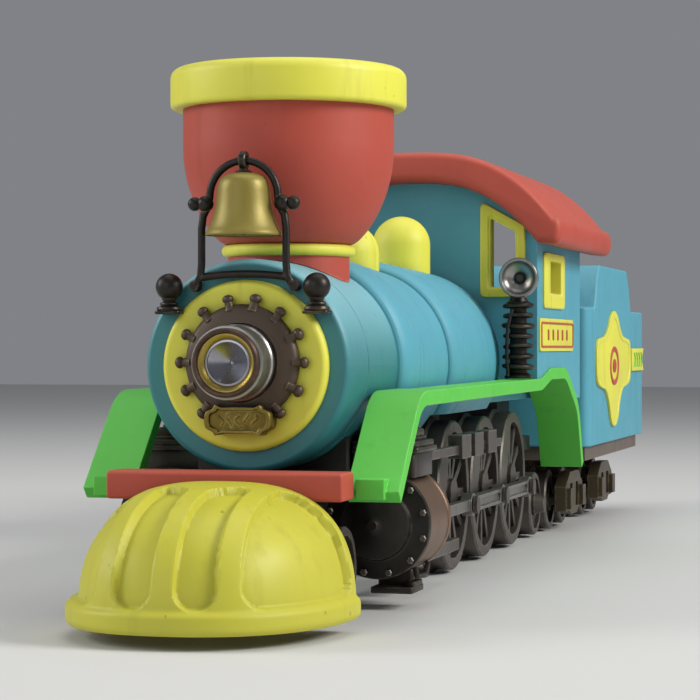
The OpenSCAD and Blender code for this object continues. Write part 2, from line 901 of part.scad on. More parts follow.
module cab_shell() {
    y1 = cab_y + cab_len;
    color("lightblue")
        at_train()
            difference() {
                intersection() {
                    union() {
                        block([-cab_half_w, cab_y, floor_z0], [cab_half_w, cab_y + 3, roof_z]);
                        for (side = [-1, 1])
                            mirror([side > 0 ? 0 : 1, 0, 0])
                                block([cab_half_w - cab_wall, cab_y, floor_z0], [cab_half_w, y1, roof_z]);
                        block([-29, cab_y, floor_z0], [29, y1 - 4, floor_z0 + 3]);
                        block([-cab_half_w, cab_y, floor_z0 + 12], [cab_half_w, y1 - 2, floor_z0 + 15]);
                    }
                    along_y(cab_y, y1)
                        polygon(under_roof);
                }
                for (side = [-1, 1])
                    mirror([side > 0 ? 0 : 1, 0, 0]) {
                        along_y(cab_y - 1, cab_y + 4)
                            polygon(window_out(0));
                        along_x(cab_half_w - cab_wall - 1, cab_half_w + 1)
                            polygon(rounded_box(side_win_y0, side_win_z0, side_win_y1, side_win_z1, 1.5));
                        along_x(29, 60)
                            polygon(concat(
                                [for (i = [0:len(board_path) - 1])
                                    board_path[i] + across(board_path, i) * board_t / 2],
                                [[340, 0], [0, 0]]
                            ));
                    }
            }
}

module front_windows() {
    color("yellow")
        at_train()
            for (side = [-1, 1])
                mirror([side > 0 ? 0 : 1, 0, 0])
                    difference() {
                        along_y(cab_y - frame_t, cab_y)
                            polygon(window_out(3));
                        along_y(cab_y - 5, cab_y + 4)
                            polygon(window_out(0));
                        rod_along_y(0, 0, cab_y + 1, boiler_z, band_r - 4);
                    }
}

module side_window(side) {
    at_train()
        mirror([side > 0 ? 0 : 1, 0, 0])
            difference() {
                along_x(cab_half_w, cab_half_w + frame_t)
                    polygon(rounded_box(side_win_y0 - 12, side_win_z0 - 5, side_win_y1 + 6, side_win_z1 + 2, 2.5));
                along_x(cab_half_w - 4, cab_half_w + 4)
                    polygon(rounded_box(side_win_y0, side_win_z0, side_win_y1, side_win_z1, 1.5));
            }
}

module nameplates() {
    color("yellow")
        at_train()
            for (side = [-1, 1])
                mirror([side > 0 ? 0 : 1, 0, 0])
                    difference() {
                        along_x(cab_half_w, cab_half_w + frame_t)
                            polygon(rounded_box(cab_y + 3, 80, cab_y + 83, 93, 1.5));
                        along_x(cab_half_w + frame_t - 0.4, cab_half_w + frame_t + 1)
                            polygon(rounded_box(cab_y + 5, 82, cab_y + 81, 91, 1));
                    }
}

// ---- Air pump ----

pump_x = 42.6;
pump_y = 219;
fin_count = 6;

module air_pump() {
    base_z = board_z + 0.8 + board_t / 2 + gap;
    color("dimgray")
        at_train() {
            rod_along_z(pump_x, pump_y, base_z, 101, 2.4);
            rod_along_z(pump_x, pump_y, base_z, base_z + 2, 5);
            for (i = [0:fin_count - 1]) {
                z = base_z + 5 + i * 4.2;
                turn_z(pump_x, pump_y)
                    polygon([[0, z], [5.6, z + 0.2], [6.1, z + 0.9], [5.6, z + 1.6], [0, z + 2.4]]);
            }
            rod_along_z(pump_x, pump_y, 98.4, 100.4, 4);
        }
}

module pump_horn() {
    horn_z = 108;
    horn_x = pump_x + 1.6;
    color("silver")
        at_train()
            difference() {
                union() {
                    rod_along_z(pump_x, pump_y, 101, horn_z - 3, 3);
                    turn_y(horn_x, horn_z)
                        polygon([
                            [0, pump_y + 8], [0, pump_y - 9], [6.6, pump_y - 9], [7.7, pump_y - 8],
                            [7.7, pump_y - 6.6], [6, pump_y - 3], [4, pump_y + 4], [2, pump_y + 8]
                        ]);
                }
                turn_y(horn_x, horn_z)
                    polygon([[0, pump_y - 10], [5.8, pump_y - 10], [5.4, pump_y - 7.6], [0, pump_y - 4.6]]);
            }
}

// ---- Cylinders ----

module cylinder_block(side) {
    at_train()
        mirror([side > 0 ? 0 : 1, 0, 0])
            difference() {
                union() {
                    rod_along_y(cyl_x, cyl_y, cyl_y + cyl_len, cyl_z, cyl_r);
                    block([24, 32, 40], [45, 58, 52]);
                    block([24.2, 31, 49], [46, 59, 52.5]);
                    block([25.4, 33, 52.5], [43.6, 57, 56]);
                    block([cyl_x - 3, 40, 7], [cyl_x + 9, 44, 13]);
                    block([cyl_x - 4, 34, 5], [cyl_x + 10, 50, 7.4]);
                }
                rod_along_y(cyl_x, cyl_y + 3, cyl_y + cyl_len + 1, cyl_z, cyl_bore_r);
                rod_along_y(cyl_x, cyl_y - 1, cyl_y + 4, cyl_z, 6);
                rod_along_y(0, cyl_y - 1, cyl_y + cyl_len + 1, boiler_z, boiler_r + 0.05);
            }
}

module cylinder_cover(side) {
    bolt_count = 12;
    at_train()
        mirror([side > 0 ? 0 : 1, 0, 0]) {
            turn_y(cyl_x, cyl_z)
                polygon([
                    [0, cyl_y], [0, cyl_y - 8.6], [1.6, cyl_y - 8.6], [2.4, cyl_y - 7.6], [6.4, cyl_y - 7],
                    [10.4, cyl_y - 5], [13, cyl_y - 2.4], [cyl_r + 0.4, cyl_y - 2], [cyl_r + 0.4, cyl_y]
                ]);
            for (i = [0:bolt_count - 1])
                translate([cyl_x, cyl_y - 2, cyl_z])
                    rotate([0, i * 360 / bolt_count, 0])
                        translate([0, 0, 15])
                            rod_along_y(0, -0.9, 0.5, 0, 1);
        }
}

// ---- Valve gear and rods ----

module valve_gear() {
    bar_z0 = 45;
    color("dimgray")
        at_train()
            for (side = [-1, 1])
                mirror([side > 0 ? 0 : 1, 0, 0]) {
                    block([38.6, 58, bar_z0], [41.6, 190, bar_z0 + 3]);
                    for (y = [112, 134, 158])
                        block([38, y, bar_z0 - 1.5], [43, y + 15, bar_z0 + 6.6]);
                    block([31.5, 70, 11.4], [38.5, 128, 15.4]);
                    block([plate_x1, 70, 22.6], [18, 76, 26]);
                    block([plate_x1, 70, 11.4], [32, 76, 15.4]);
                    block([plate_x1, 70, 15.4], [18, 76, 22.6]);
                }
}

module gearmotor() {
    color("darkslategray")
        at_train() {
            difference() {
                block([-10, main_axle_y - 13, 16], [10, main_axle_y + 13, 50]);
                rod_along_x(-11, 11, main_axle_y, driver_z, axle_r + run_clear);
            }
            block([-10, main_axle_y - 40, 50], [10, main_axle_y + 8, 74]);
            rod_along_y(0, main_axle_y - 72, main_axle_y - 40, 64, 9);
            block([-plate_x0, main_axle_y + 8, 40], [plate_x0, main_axle_y + 13, 46]);
        }
}

// A wheel's rim and hub, turned, with its back at x = 0 and its face towards +X
module wheel(r, hub_r, rim_w) {
    rotate([0, 90, 0])
        rotate_extrude()
            polygon([
                [r - rim_w, 0.6], [r + flange_h - 0.8, 0], [r + flange_h, 0.8], [r + flange_h, 1.4],
                [r, flange_w], [r, flange_w + tread_w - 0.6], [r - 0.6, flange_w + tread_w],
                [r - rim_w, flange_w + tread_w]
            ]);
    rotate([0, 90, 0])
        cylinder(r = hub_r, h = flange_w + tread_w);
}

module spoked_wheel(r, crank_angle) {
    rim_w = 4.2;
    hub_r = 6;
    wheel(r, hub_r, rim_w);
    for (i = [0:spoke_count - 1])
        rotate([i * 360 / spoke_count, 0, 0])
            block([2.4, -1.4, hub_r - 1], [7.4, 1.4, r - rim_w + 0.5]);
    rotate([crank_angle, 0, 0]) {
        rod_along_x(2.4, flange_w + tread_w, crank_r, 0, 4.4);
        intersection() {
            rod_along_x(2.4, flange_w + tread_w - 0.6, 0, 0, r - rim_w + 0.5);
            block([0, -r, -r], [20, -r * 0.42, r]);
        }
    }
}

// Angle of each side's crank from straight back, turned about +X
left_crank = -crank_rest;
right_crank = left_crank + 90;

module crank_pin(angle) {
    rotate([angle, 0, 0]) {
        rod_along_x(3, flange_w + tread_w + 6.6, crank_r, 0, crank_pin_r);
        rod_along_x(flange_w + tread_w + 5.9, flange_w + tread_w + 7.4, crank_r, 0, pin_head_r);
    }
}

module driver_set(y) {
    at_train()
        translate([0, y, driver_z]) {
            rod_along_x(-wheel_x0 - 1, wheel_x0 + 1, 0, 0, axle_r);
            translate([wheel_x0, 0, 0]) {
                spoked_wheel(driver_r, left_crank);
                crank_pin(left_crank);
            }
            mirror([1, 0, 0])
                translate([wheel_x0, 0, 0]) {
                    spoked_wheel(driver_r, right_crank);
                    crank_pin(right_crank);
                }
        }
}

module side_rod(side) {
    angle = side > 0 ? left_crank : right_crank;
    pin_y = crank_r * cos(angle);
    pin_z = driver_z + crank_r * sin(angle);
    y0 = main_axle_y - driver_pitch + pin_y;
    x0 = rod_x0;
    x1 = rod_x0 + rod_w;
    at_train()
        mirror([side > 0 ? 0 : 1, 0, 0])
            difference() {
                union() {
                    for (i = [0:2])
                        rod_along_x(x0, x1, y0 + i * driver_pitch, pin_z, 4.2);
                    block([x0, y0, pin_z - 2.7], [x1, y0 + 2 * driver_pitch, pin_z + 2.7]);
                    block([x0 + 0.6, rod_y0 + pin_y + crank_r, pin_z - 2], [x1 - 0.6, y0, pin_z + 2]);
                    rod_along_x(x0 + 0.4, x1 - 0.4, rod_y0 + pin_y + crank_r, pin_z, 2.6);
                }
                for (i = [0:2])
                    rod_along_x(x0 - 1, x1 + 1, y0 + i * driver_pitch, pin_z, crank_pin_r + run_clear);
                for (i = [0:1])
                    along_x(x1 - 0.9, x1 + 1)
                        polygon(rounded_box(
                            y0 + i * driver_pitch + 6, pin_z - 1.5,
                            y0 + (i + 1) * driver_pitch - 6, pin_z + 1.5, 1.2
                        ));
            }
}

// ---- Small trucks ----

small_axle_r = 2.5;

// A two-wheel truck: a plate under the frame with cheeks that carry the axle
module two_wheel_truck(pivot, axle, y0, y1) {
    cheek_top = 21;
    at_train()
        difference() {
            union() {
                block([-17, y0, cheek_top], [17, y1, 24]);
                rod_along_z(0, pivot, 24, deck_z0 - gap, truck_boss_r);
                for (side = [-1, 1])
                    mirror([side > 0 ? 0 : 1, 0, 0])
                        block([11, axle - 6, 9], [17, axle + 6, cheek_top]);
            }
            rod_along_z(0, pivot, 20, deck_z0, catch_r);
            rod_along_x(-18, 18, axle, small_z, small_axle_r + run_clear);
        }
}

// A disc wheel with its back at x = 0
module disc_wheel(r, web_x, hub_x) {
    wheel(r, 5, 2.6);
    rotate([0, 90, 0])
        translate([0, 0, 2])
            cylinder(r = r - 2, h = web_x - 2);
    rotate([0, 90, 0])
        translate([0, 0, web_x - 1])
            cylinder(r1 = 5.4, r2 = 3.4, h = hub_x - web_x + 1);
}

module small_wheel_set(y, z, r, web_x, hub_x, axle_x) {
    at_train()
        translate([0, y, z]) {
            rod_along_x(-axle_x, axle_x, 0, 0, small_axle_r);
            for (side = [-1, 1])
                mirror([side > 0 ? 0 : 1, 0, 0])
                    translate([wheel_x0, 0, 0])
                        disc_wheel(r, web_x, hub_x);
        }
}

// ---- Tender ----

truck_front_y = tender_y + 34;
truck_rear_y = tender_y + tender_len - 50;
truck_pin_head = 19.2;
bolster_z0 = 19.5;

module tender_shell() {
    y1 = tender_y + tender_len;
    color("lightblue")
        at_train()
            difference() {
                union() {
                    translate([0, 0, tender_z0])
                        linear_extrude(tender_z - tender_z0)
                            polygon(rounded_box(-tender_half_w, tender_y, tender_half_w, y1, 4));
                    along_x(-tender_half_w, tender_half_w)
                        polygon([
                            [tender_y + 18, tender_z - 1], [tender_y + 18, tender_z], [tender_y + 26, block_z - 5],
                            [tender_y + 32, block_z], [y1 - 60, block_z], [y1 - 54, block_z - 5],
                            [y1 - 45, tender_z], [y1 - 45, tender_z - 1]
                        ]);
                }
                translate([0, 0, tender_z0 - 1])
                    linear_extrude(tender_z - tender_z0 - 2)
                        polygon(rounded_box(
                            3 - tender_half_w, tender_y + 3, tender_half_w - 3, y1 - 3, 3
                        ));
            }
}

module tender_frame() {
    y1 = tender_y + tender_len;
    color("dimgray")
        at_train()
            difference() {
                union() {
                    block([-48, tender_y + 2, sill_z0], [48, y1 - 13, tender_z0]);
                    block([-8, draw_y - 8, sill_z0], [8, tender_y + 3, deck_z0 - 1]);
                    for (y = [truck_front_y, truck_rear_y])
                        king_pin(y, sill_z0 + 1, truck_pin_head);
                    block([-12, y1 - 14, 26], [12, y1 - 10, tender_z0]);
                    block([-7, y1 - 30, 26], [7, y1 - 2, 28.4]);
                    block([-7, y1 - 20, 28.4], [7, y1 - 13, sill_z0]);
                    rod_along_z(0, coupler_y, 19, 26.5, pin_r);
                    rod_along_z(0, coupler_y, 17.5, 19, pin_head);
                }
                rod_along_z(0, draw_y, sill_z0 - 1, deck_z0, catch_r);
            }
}

// Crest: a shield with points at top and bottom on a wide block, with a raised border
crest_y = tender_y + 71;
crest_outline = [
    [-54, 66], [-50, 62.5], [-26, 62], [-14, 55], [-5, 47], [0, 45], [5, 47], [14, 55], [26, 62],
    [50, 62.5], [54, 66], [54, 83], [50, 86.5], [26, 87], [14, 91], [5, 97], [0, 98.4], [-5, 97],
    [-14, 91], [-26, 87], [-50, 86.5], [-54, 83]
];

module tender_crest(side) {
    at_train()
        mirror([side > 0 ? 0 : 1, 0, 0]) {
            translate([0, crest_y, 0])
                along_x(tender_half_w, tender_half_w + frame_t)
                    polygon(crest_outline);
            translate([0, tender_y + tender_len - 26, 0])
                along_x(tender_half_w, tender_half_w + frame_t)
                    polygon([[-22, 70], [20, 70], [14, 75.5], [20, 81], [-22, 81]]);
        }
}

module truck_frame(y) {
    // The bolster's arms are narrow enough to pass between the flanges
    rise = bolster_z0 - tender_axle_z;
    arm_y = truck_base / 2 - sqrt(pow(tender_wheel_r + flange_h, 2) - rise * rise) - gap;
    at_train()
        translate([0, y, 0])
            difference() {
                union() {
                    block([-38, -arm_y, bolster_z0], [38, arm_y, 23.5]);
                    block([-18, -6, bolster_z0], [18, 6, 23.5]);
                    rod_along_z(0, 0, 23.5, sill_z0 - gap, 7);
                    for (side = [-1, 1])
                        mirror([side > 0 ? 0 : 1, 0, 0]) {
                            along_x(33, 38)
                                polygon([
                                    [-truck_base / 2 - 5, 9], [-truck_base / 2 + 5, 9], [-8, 7], [8, 7],
                                    [truck_base / 2 - 5, 9], [truck_base / 2 + 5, 9], [truck_base / 2 + 6, 20],
                                    [11, 26], [-11, 26], [-truck_base / 2 - 6, 20]
                                ]);
                            for (i = [-1, 1])
                                block(
                                    [38, i * truck_base / 2 - 4, 10],
                                    [40, i * truck_base / 2 + 4, 19]
                                );
                        }
                }
                rod_along_z(0, 0, bolster_z0 - 1, sill_z0, catch_r);
                for (i = [-1, 1])
                    rod_along_x(-36, 36, i * truck_base / 2, tender_axle_z, small_axle_r + run_clear);
                block([-pin_head - 1, -pin_head - 1, 0], [pin_head + 1, pin_head + 1, bolster_z0 + 0.01]);
                for (side = [-1, 1])
                    for (i = [-1, 1])
                        along_x(side > 0 ? 36.6 : -38.5, side > 0 ? 38.5 : -36.6)
                            polygon(rounded_box(i * 8 - 3.6, 10, i * 8 + 3.6, 21, 1));
            }
}

module rear_coupler() {
    color("dimgray")
        at_train()
            difference() {
                union() {
                    rod_along_z(0, coupler_y, 19 + gap, 26 - gap, 6);
                    block([-4, coupler_y, 20], [4, coupler_y + coupler_len - 8, 25]);
                    rod_along_z(0, coupler_y + coupler_len - 8, 20, 25, 8);
                }
                rod_along_z(0, coupler_y, 18, 27, catch_r);
                rod_along_z(0, coupler_y + coupler_len - 8, 19, 26, 4);
            }
}

// ---- Pieces ----

main_frame();
buffer_beam();
cowcatcher();
boiler_front();
boiler_middle();
boiler_rear();
smokebox_door();
headlight_base();
headlight_barrel();
headlight_rim();
headlight_reflector();
number_plate();
color("dimgray") marker_lamp(1);  // marker_lamp_left
color("dimgray") marker_lamp(-1);  // marker_lamp_right
stack_neck();
stack_collar();
stack_bowl();
stack_rim();
front_dome();
rear_dome();
bell_bracket();
bell();
bell_clapper();
cab_shell();
cab_roof();
color("yellow") side_window(1);  // side_window_left
color("yellow") side_window(-1);  // side_window_right
front_windows();
nameplates();
color("limegreen") running_board(1);  // running_board_left
color("limegreen") running_board(-1);  // running_board_right
air_pump();
pump_horn();
color("tan") cylinder_block(1);  // cylinder_left
color("tan") cylinder_block(-1);  // cylinder_right
color("dimgray") cylinder_cover(1);  // cylinder_cover_left
color("dimgray") cylinder_cover(-1);  // cylinder_cover_right
valve_gear();
gearmotor();
color("gray") driver_set(main_axle_y - driver_pitch);  // drivers_front
color("gray") driver_set(main_axle_y);  // drivers_main
color("gray") driver_set(main_axle_y + driver_pitch);  // drivers_rear
color("silver") side_rod(1);  // side_rod_left
color("silver") side_rod(-1);  // side_rod_right
color("dimgray") two_wheel_truck(pilot_y, pilot_y, pilot_y - 9, pilot_y + 9);  // pilot_truck
color("gray") small_wheel_set(pilot_y, small_z, small_wheel_r, 7.4, 9, wheel_x0 + 1);  // pilot_wheels
color("dimgray") two_wheel_truck(trail_pivot_y, trail_y, trail_pivot_y - 8, trail_y + 7);  // trailing_truck
color("gray") small_wheel_set(trail_y, small_z, small_wheel_r, 7.4, 13, wheel_x0 + 1);  // trailing_wheels
tender_shell();
tender_frame();
color("yellow") tender_crest(1);  // tender_crest_left
color("yellow") tender_crest(-1);  // tender_crest_right
color("darkgoldenrod") truck_frame(truck_front_y);  // tender_truck_front
color("darkgoldenrod") truck_frame(truck_rear_y);  // tender_truck_rear
color("gray") small_wheel_set(truck_front_y - truck_base / 2, tender_axle_z, tender_wheel_r, 7, 9, 35.6);  // tender_wheels_1
color("gray") small_wheel_set(truck_front_y + truck_base / 2, tender_axle_z, tender_wheel_r, 7, 9, 35.6);  // tender_wheels_2
color("gray") small_wheel_set(truck_rear_y - truck_base / 2, tender_axle_z, tender_wheel_r, 7, 9, 35.6);  // tender_wheels_3
color("gray") small_wheel_set(truck_rear_y + truck_base / 2, tender_axle_z, tender_wheel_r, 7, 9, 35.6);  // tender_wheels_4
rear_coupler();
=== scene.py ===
import math

import bmesh
import bpy
from mathutils import Matrix, Vector


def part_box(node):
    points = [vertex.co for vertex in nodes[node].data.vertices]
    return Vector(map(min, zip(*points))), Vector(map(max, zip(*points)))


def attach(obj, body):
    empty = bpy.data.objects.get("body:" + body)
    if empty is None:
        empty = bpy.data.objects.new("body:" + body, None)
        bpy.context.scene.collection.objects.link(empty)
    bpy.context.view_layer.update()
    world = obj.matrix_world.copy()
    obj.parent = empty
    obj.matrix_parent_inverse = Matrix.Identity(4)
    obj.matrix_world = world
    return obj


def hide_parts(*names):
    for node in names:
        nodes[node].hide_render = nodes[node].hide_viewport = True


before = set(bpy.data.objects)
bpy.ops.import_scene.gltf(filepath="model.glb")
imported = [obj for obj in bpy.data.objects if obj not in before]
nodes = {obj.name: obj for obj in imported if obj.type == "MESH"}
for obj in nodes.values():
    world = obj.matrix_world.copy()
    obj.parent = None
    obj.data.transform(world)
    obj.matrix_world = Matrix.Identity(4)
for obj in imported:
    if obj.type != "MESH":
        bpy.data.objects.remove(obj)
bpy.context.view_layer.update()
scene = bpy.context.scene
mm = 0.001
print("frame loaded:", len(nodes), "nodes")

# camera, floor and light

camera = {"place": (0.210, -0.920, 0.0816), "heading": (-0.2497, 0.9683), "lens": 123.4, "shiftY": -0.004}
light = {
    "key": {"at": (1.5, -0.25, 1.0), "size": 0.7, "power": 27.0, "tint": (1.0, 0.98, 0.95)},
    "side": {"at": (-1.5, -0.55, 0.8), "size": 0.8, "power": 13.0, "tint": (1.0, 0.98, 0.94)},
    "front": {"at": (-0.5, -1.9, 0.7), "size": 1.2, "power": 5.0, "tint": (0.95, 0.98, 1.0)},
    "top": {"at": (0.1, 0.1, 1.5), "size": 1.3, "power": 8.0, "tint": (1.0, 1.0, 1.0)},
    "sky": 0.24,
}


def aim(o, target):
    o.rotation_euler = (Vector(target) - o.location).to_track_quat("-Z", "Y").to_euler()


def setStage():
    cam = bpy.data.objects.new("mainCamera", bpy.data.cameras.new("mainCamera"))
    scene.collection.objects.link(cam)
    cam.location = camera["place"]
    cam.data.lens = camera["lens"]
    cam.data.shift_y = camera["shiftY"]
    cam.data.clip_start = 0.01
    hx, hy = camera["heading"]
    aim(cam, (camera["place"][0] + hx, camera["place"][1] + hy, camera["place"][2]))
    scene.camera = cam
    for name in ("key", "side", "front", "top"):
        spec = light[name]
        lamp = bpy.data.objects.new(name + "Light", bpy.data.lights.new(name + "Light", "AREA"))
        scene.collection.objects.link(lamp)
        lamp.location = spec["at"]
        lamp.data.size = spec["size"]
        lamp.data.energy = spec["power"]
        lamp.data.color = spec["tint"]
        aim(lamp, (0, -0.1, 0.08))
    world = bpy.data.worlds.new("studio")
    scene.world = world
    world.use_nodes = True
    background = world.node_tree.nodes["Background"]
    background.inputs["Color"].default_value = (0.9, 0.93, 1.0, 1)
    background.inputs["Strength"].default_value = light["sky"]
    scene.view_settings.view_transform = "Standard"
    ground = bpy.data.meshes.new("floor")
    w = 4.0
    ground.from_pydata([(-w, -w, 0), (w, -w, 0), (w, w, 0), (-w, w, 0)], [], [(0, 1, 2, 3)])
    floor = bpy.data.objects.new("floor", ground)
    scene.collection.objects.link(floor)
    finish = bpy.data.materials.new("paleFloor")
    finish.use_nodes = True
    shader = finish.node_tree.nodes["Principled BSDF"]
    shader.inputs["Base Color"].default_value = (0.62, 0.62, 0.61, 1)
    shader.inputs["Roughness"].default_value = 0.75
    ground.materials.append(finish)


setStage()
print("stage set")

# shared shader effects


def newGroup(name, numbers, colors, outputs):
    tree = bpy.data.node_groups.new(name, "ShaderNodeTree")
    for label, value in colors.items():
        socket = tree.interface.new_socket(label, in_out="INPUT", socket_type="NodeSocketColor")
        socket.default_value = (*value, 1)
    for label, value in numbers.items():
        socket = tree.interface.new_socket(label, in_out="INPUT", socket_type="NodeSocketFloat")
        socket.default_value = value
    for label, kind in outputs.items():
        tree.interface.new_socket(label, in_out="OUTPUT", socket_type=kind)
    return tree, tree.nodes.new("NodeGroupInput"), tree.nodes.new("NodeGroupOutput")


# Short ways to add and join nodes in one tree.
class Wires:
    def __init__(self, tree):
        self.tree = tree
        self.coords = tree.nodes.new("ShaderNodeTexCoord").outputs["Object"]

    def join(self, source, socket):
        if isinstance(source, bpy.types.NodeSocket):
            self.tree.links.new(source, socket)
        else:
            socket.default_value = source

    def noise(self, scale, detail=3.0, stretch=None, rough=0.55):
        place = self.coords
        if stretch:
            mapping = self.tree.nodes.new("ShaderNodeMapping")
            mapping.inputs["Scale"].default_value = stretch
            self.join(self.coords, mapping.inputs["Vector"])
            place = mapping.outputs["Vector"]
        n = self.tree.nodes.new("ShaderNodeTexNoise")
        self.join(place, n.inputs["Vector"])
        self.join(scale, n.inputs["Scale"])
        n.inputs["Detail"].default_value = detail
        n.inputs["Roughness"].default_value = rough
        return n.outputs["Fac"]

    def steps(self, value, low, high):
        n = self.tree.nodes.new("ShaderNodeMapRange")
        n.interpolation_type = "SMOOTHSTEP"
        self.join(value, n.inputs["Value"])
        for label, v in (("From Min", low), ("From Max", high)):
            self.join(v, n.inputs[label])
        return n.outputs["Result"]

    def math(self, kind, a, b=0.0):
        n = self.tree.nodes.new("ShaderNodeMath")
        n.operation = kind
        n.use_clamp = kind == "MULTIPLY"
        self.join(a, n.inputs[0])
        self.join(b, n.inputs[1])
        return n.outputs[0]

    def mix(self, amount, a, b):
        n = self.tree.nodes.new("ShaderNodeMix")
        n.data_type = "RGBA"
        self.join(amount, n.inputs["Factor"])
        self.join(a, n.inputs[6])
        self.join(b, n.inputs[7])
        return n.outputs[2]

    def edges(self, radius):
        bevel = self.tree.nodes.new("ShaderNodeBevel")
        bevel.samples = 4
        bevel.inputs["Radius"].default_value = radius
        geometry = self.tree.nodes.new("ShaderNodeNewGeometry")
        dot = self.tree.nodes.new("ShaderNodeVectorMath")
        dot.operation = "DOT_PRODUCT"
        self.join(bevel.outputs["Normal"], dot.inputs[0])
        self.join(geometry.outputs["Normal"], dot.inputs[1])
        return self.steps(dot.outputs["Value"], 0.985, 0.86)

    def upward(self):
        geometry = self.tree.nodes.new("ShaderNodeNewGeometry")
        split = self.tree.nodes.new("ShaderNodeSeparateXYZ")
        self.join(geometry.outputs["Normal"], split.inputs[0])
        return self.steps(split.outputs["Z"], -0.15, 0.85)

    def hollows(self, distance):
        n = self.tree.nodes.new("ShaderNodeAmbientOcclusion")
        n.samples = 6
        n.inputs["Distance"].default_value = distance
        return self.steps(n.outputs["AO"], 0.85, 0.35)


# The shared finish: wear, dirt streaks, chips and mottle, plus painted shade in hollows and painted top light
# on upward faces.
def buildWearAndShadeGroup():
    numbers = {"Wear": 0.4, "Grime And Shade": 0.4, "Chips": 0.5, "Mottle": 0.3, "Gloss Breakup": 0.15,
               "Roughness": 0.45, "Fade": 0.1}
    colors = {"Base": (0.5, 0.5, 0.5), "Worn And Top Light": (0.8, 0.8, 0.8), "Dirt And Shade": (0.1, 0.09, 0.07)}
    outputs = {"Color": "NodeSocketColor", "Roughness": "NodeSocketFloat", "Height": "NodeSocketFloat"}
    tree, given, out = newGroup("playWearAndShade", numbers, colors, outputs)
    w = Wires(tree)
    g = given.outputs
    cloud = w.noise(26.0, 5.0)
    streak = w.noise(1.0, 4.0, stretch=(150, 150, 16))
    fine = w.noise(900.0, 2.0)
    pebble = w.noise(210.0, 3.0)
    darker = w.mix(0.28, g["Base"], (0.02, 0.02, 0.02, 1))
    color = w.mix(w.math("MULTIPLY", w.steps(cloud, 0.38, 0.72), g["Mottle"]), g["Base"], darker)
    # painted top light: faces that point upward are mixed toward the lighter worn colour, as if lit from
    # above
    color = w.mix(w.math("MULTIPLY", w.upward(), g["Fade"]), color, g["Worn And Top Light"])
    streaks = w.math("MULTIPLY", w.steps(streak, 0.56, 0.78), g["Grime And Shade"])
    color = w.mix(w.math("MULTIPLY", streaks, 0.45), color, g["Dirt And Shade"])
    # painted shade: hollows found by ambient occlusion are darkened toward the dirt colour
    corner = w.math("MULTIPLY", w.hollows(0.006), g["Grime And Shade"])
    color = w.mix(w.math("MULTIPLY", corner, 0.75), color, g["Dirt And Shade"])
    rubbed = w.math("MULTIPLY", w.edges(0.0009), w.steps(pebble, 0.36, 0.62))
    rubbed = w.math("MULTIPLY", rubbed, g["Wear"])
    color = w.mix(rubbed, color, g["Worn And Top Light"])
    speck = w.math("MULTIPLY", w.steps(w.noise(330.0, 1.0), 0.775, 0.79), g["Chips"])
    color = w.mix(w.math("MULTIPLY", speck, 0.8), color, g["Dirt And Shade"])
    rough = w.math("ADD", g["Roughness"], w.math("MULTIPLY", w.steps(cloud, 0.3, 0.75), g["Gloss Breakup"]))
    rough = w.math("ADD", rough, w.math("MULTIPLY", streaks, 0.18))
    height = w.math("ADD", w.math("MULTIPLY", fine, 0.35), w.math("MULTIPLY", pebble, 0.5))
    height = w.math("SUBTRACT", height, w.math("MULTIPLY", speck, 0.6))
    w.join(color, out.inputs["Color"])
    w.join(rough, out.inputs["Roughness"])
    w.join(height, out.inputs["Height"])
    return tree


wearAndShadeGroup = buildWearAndShadeGroup()

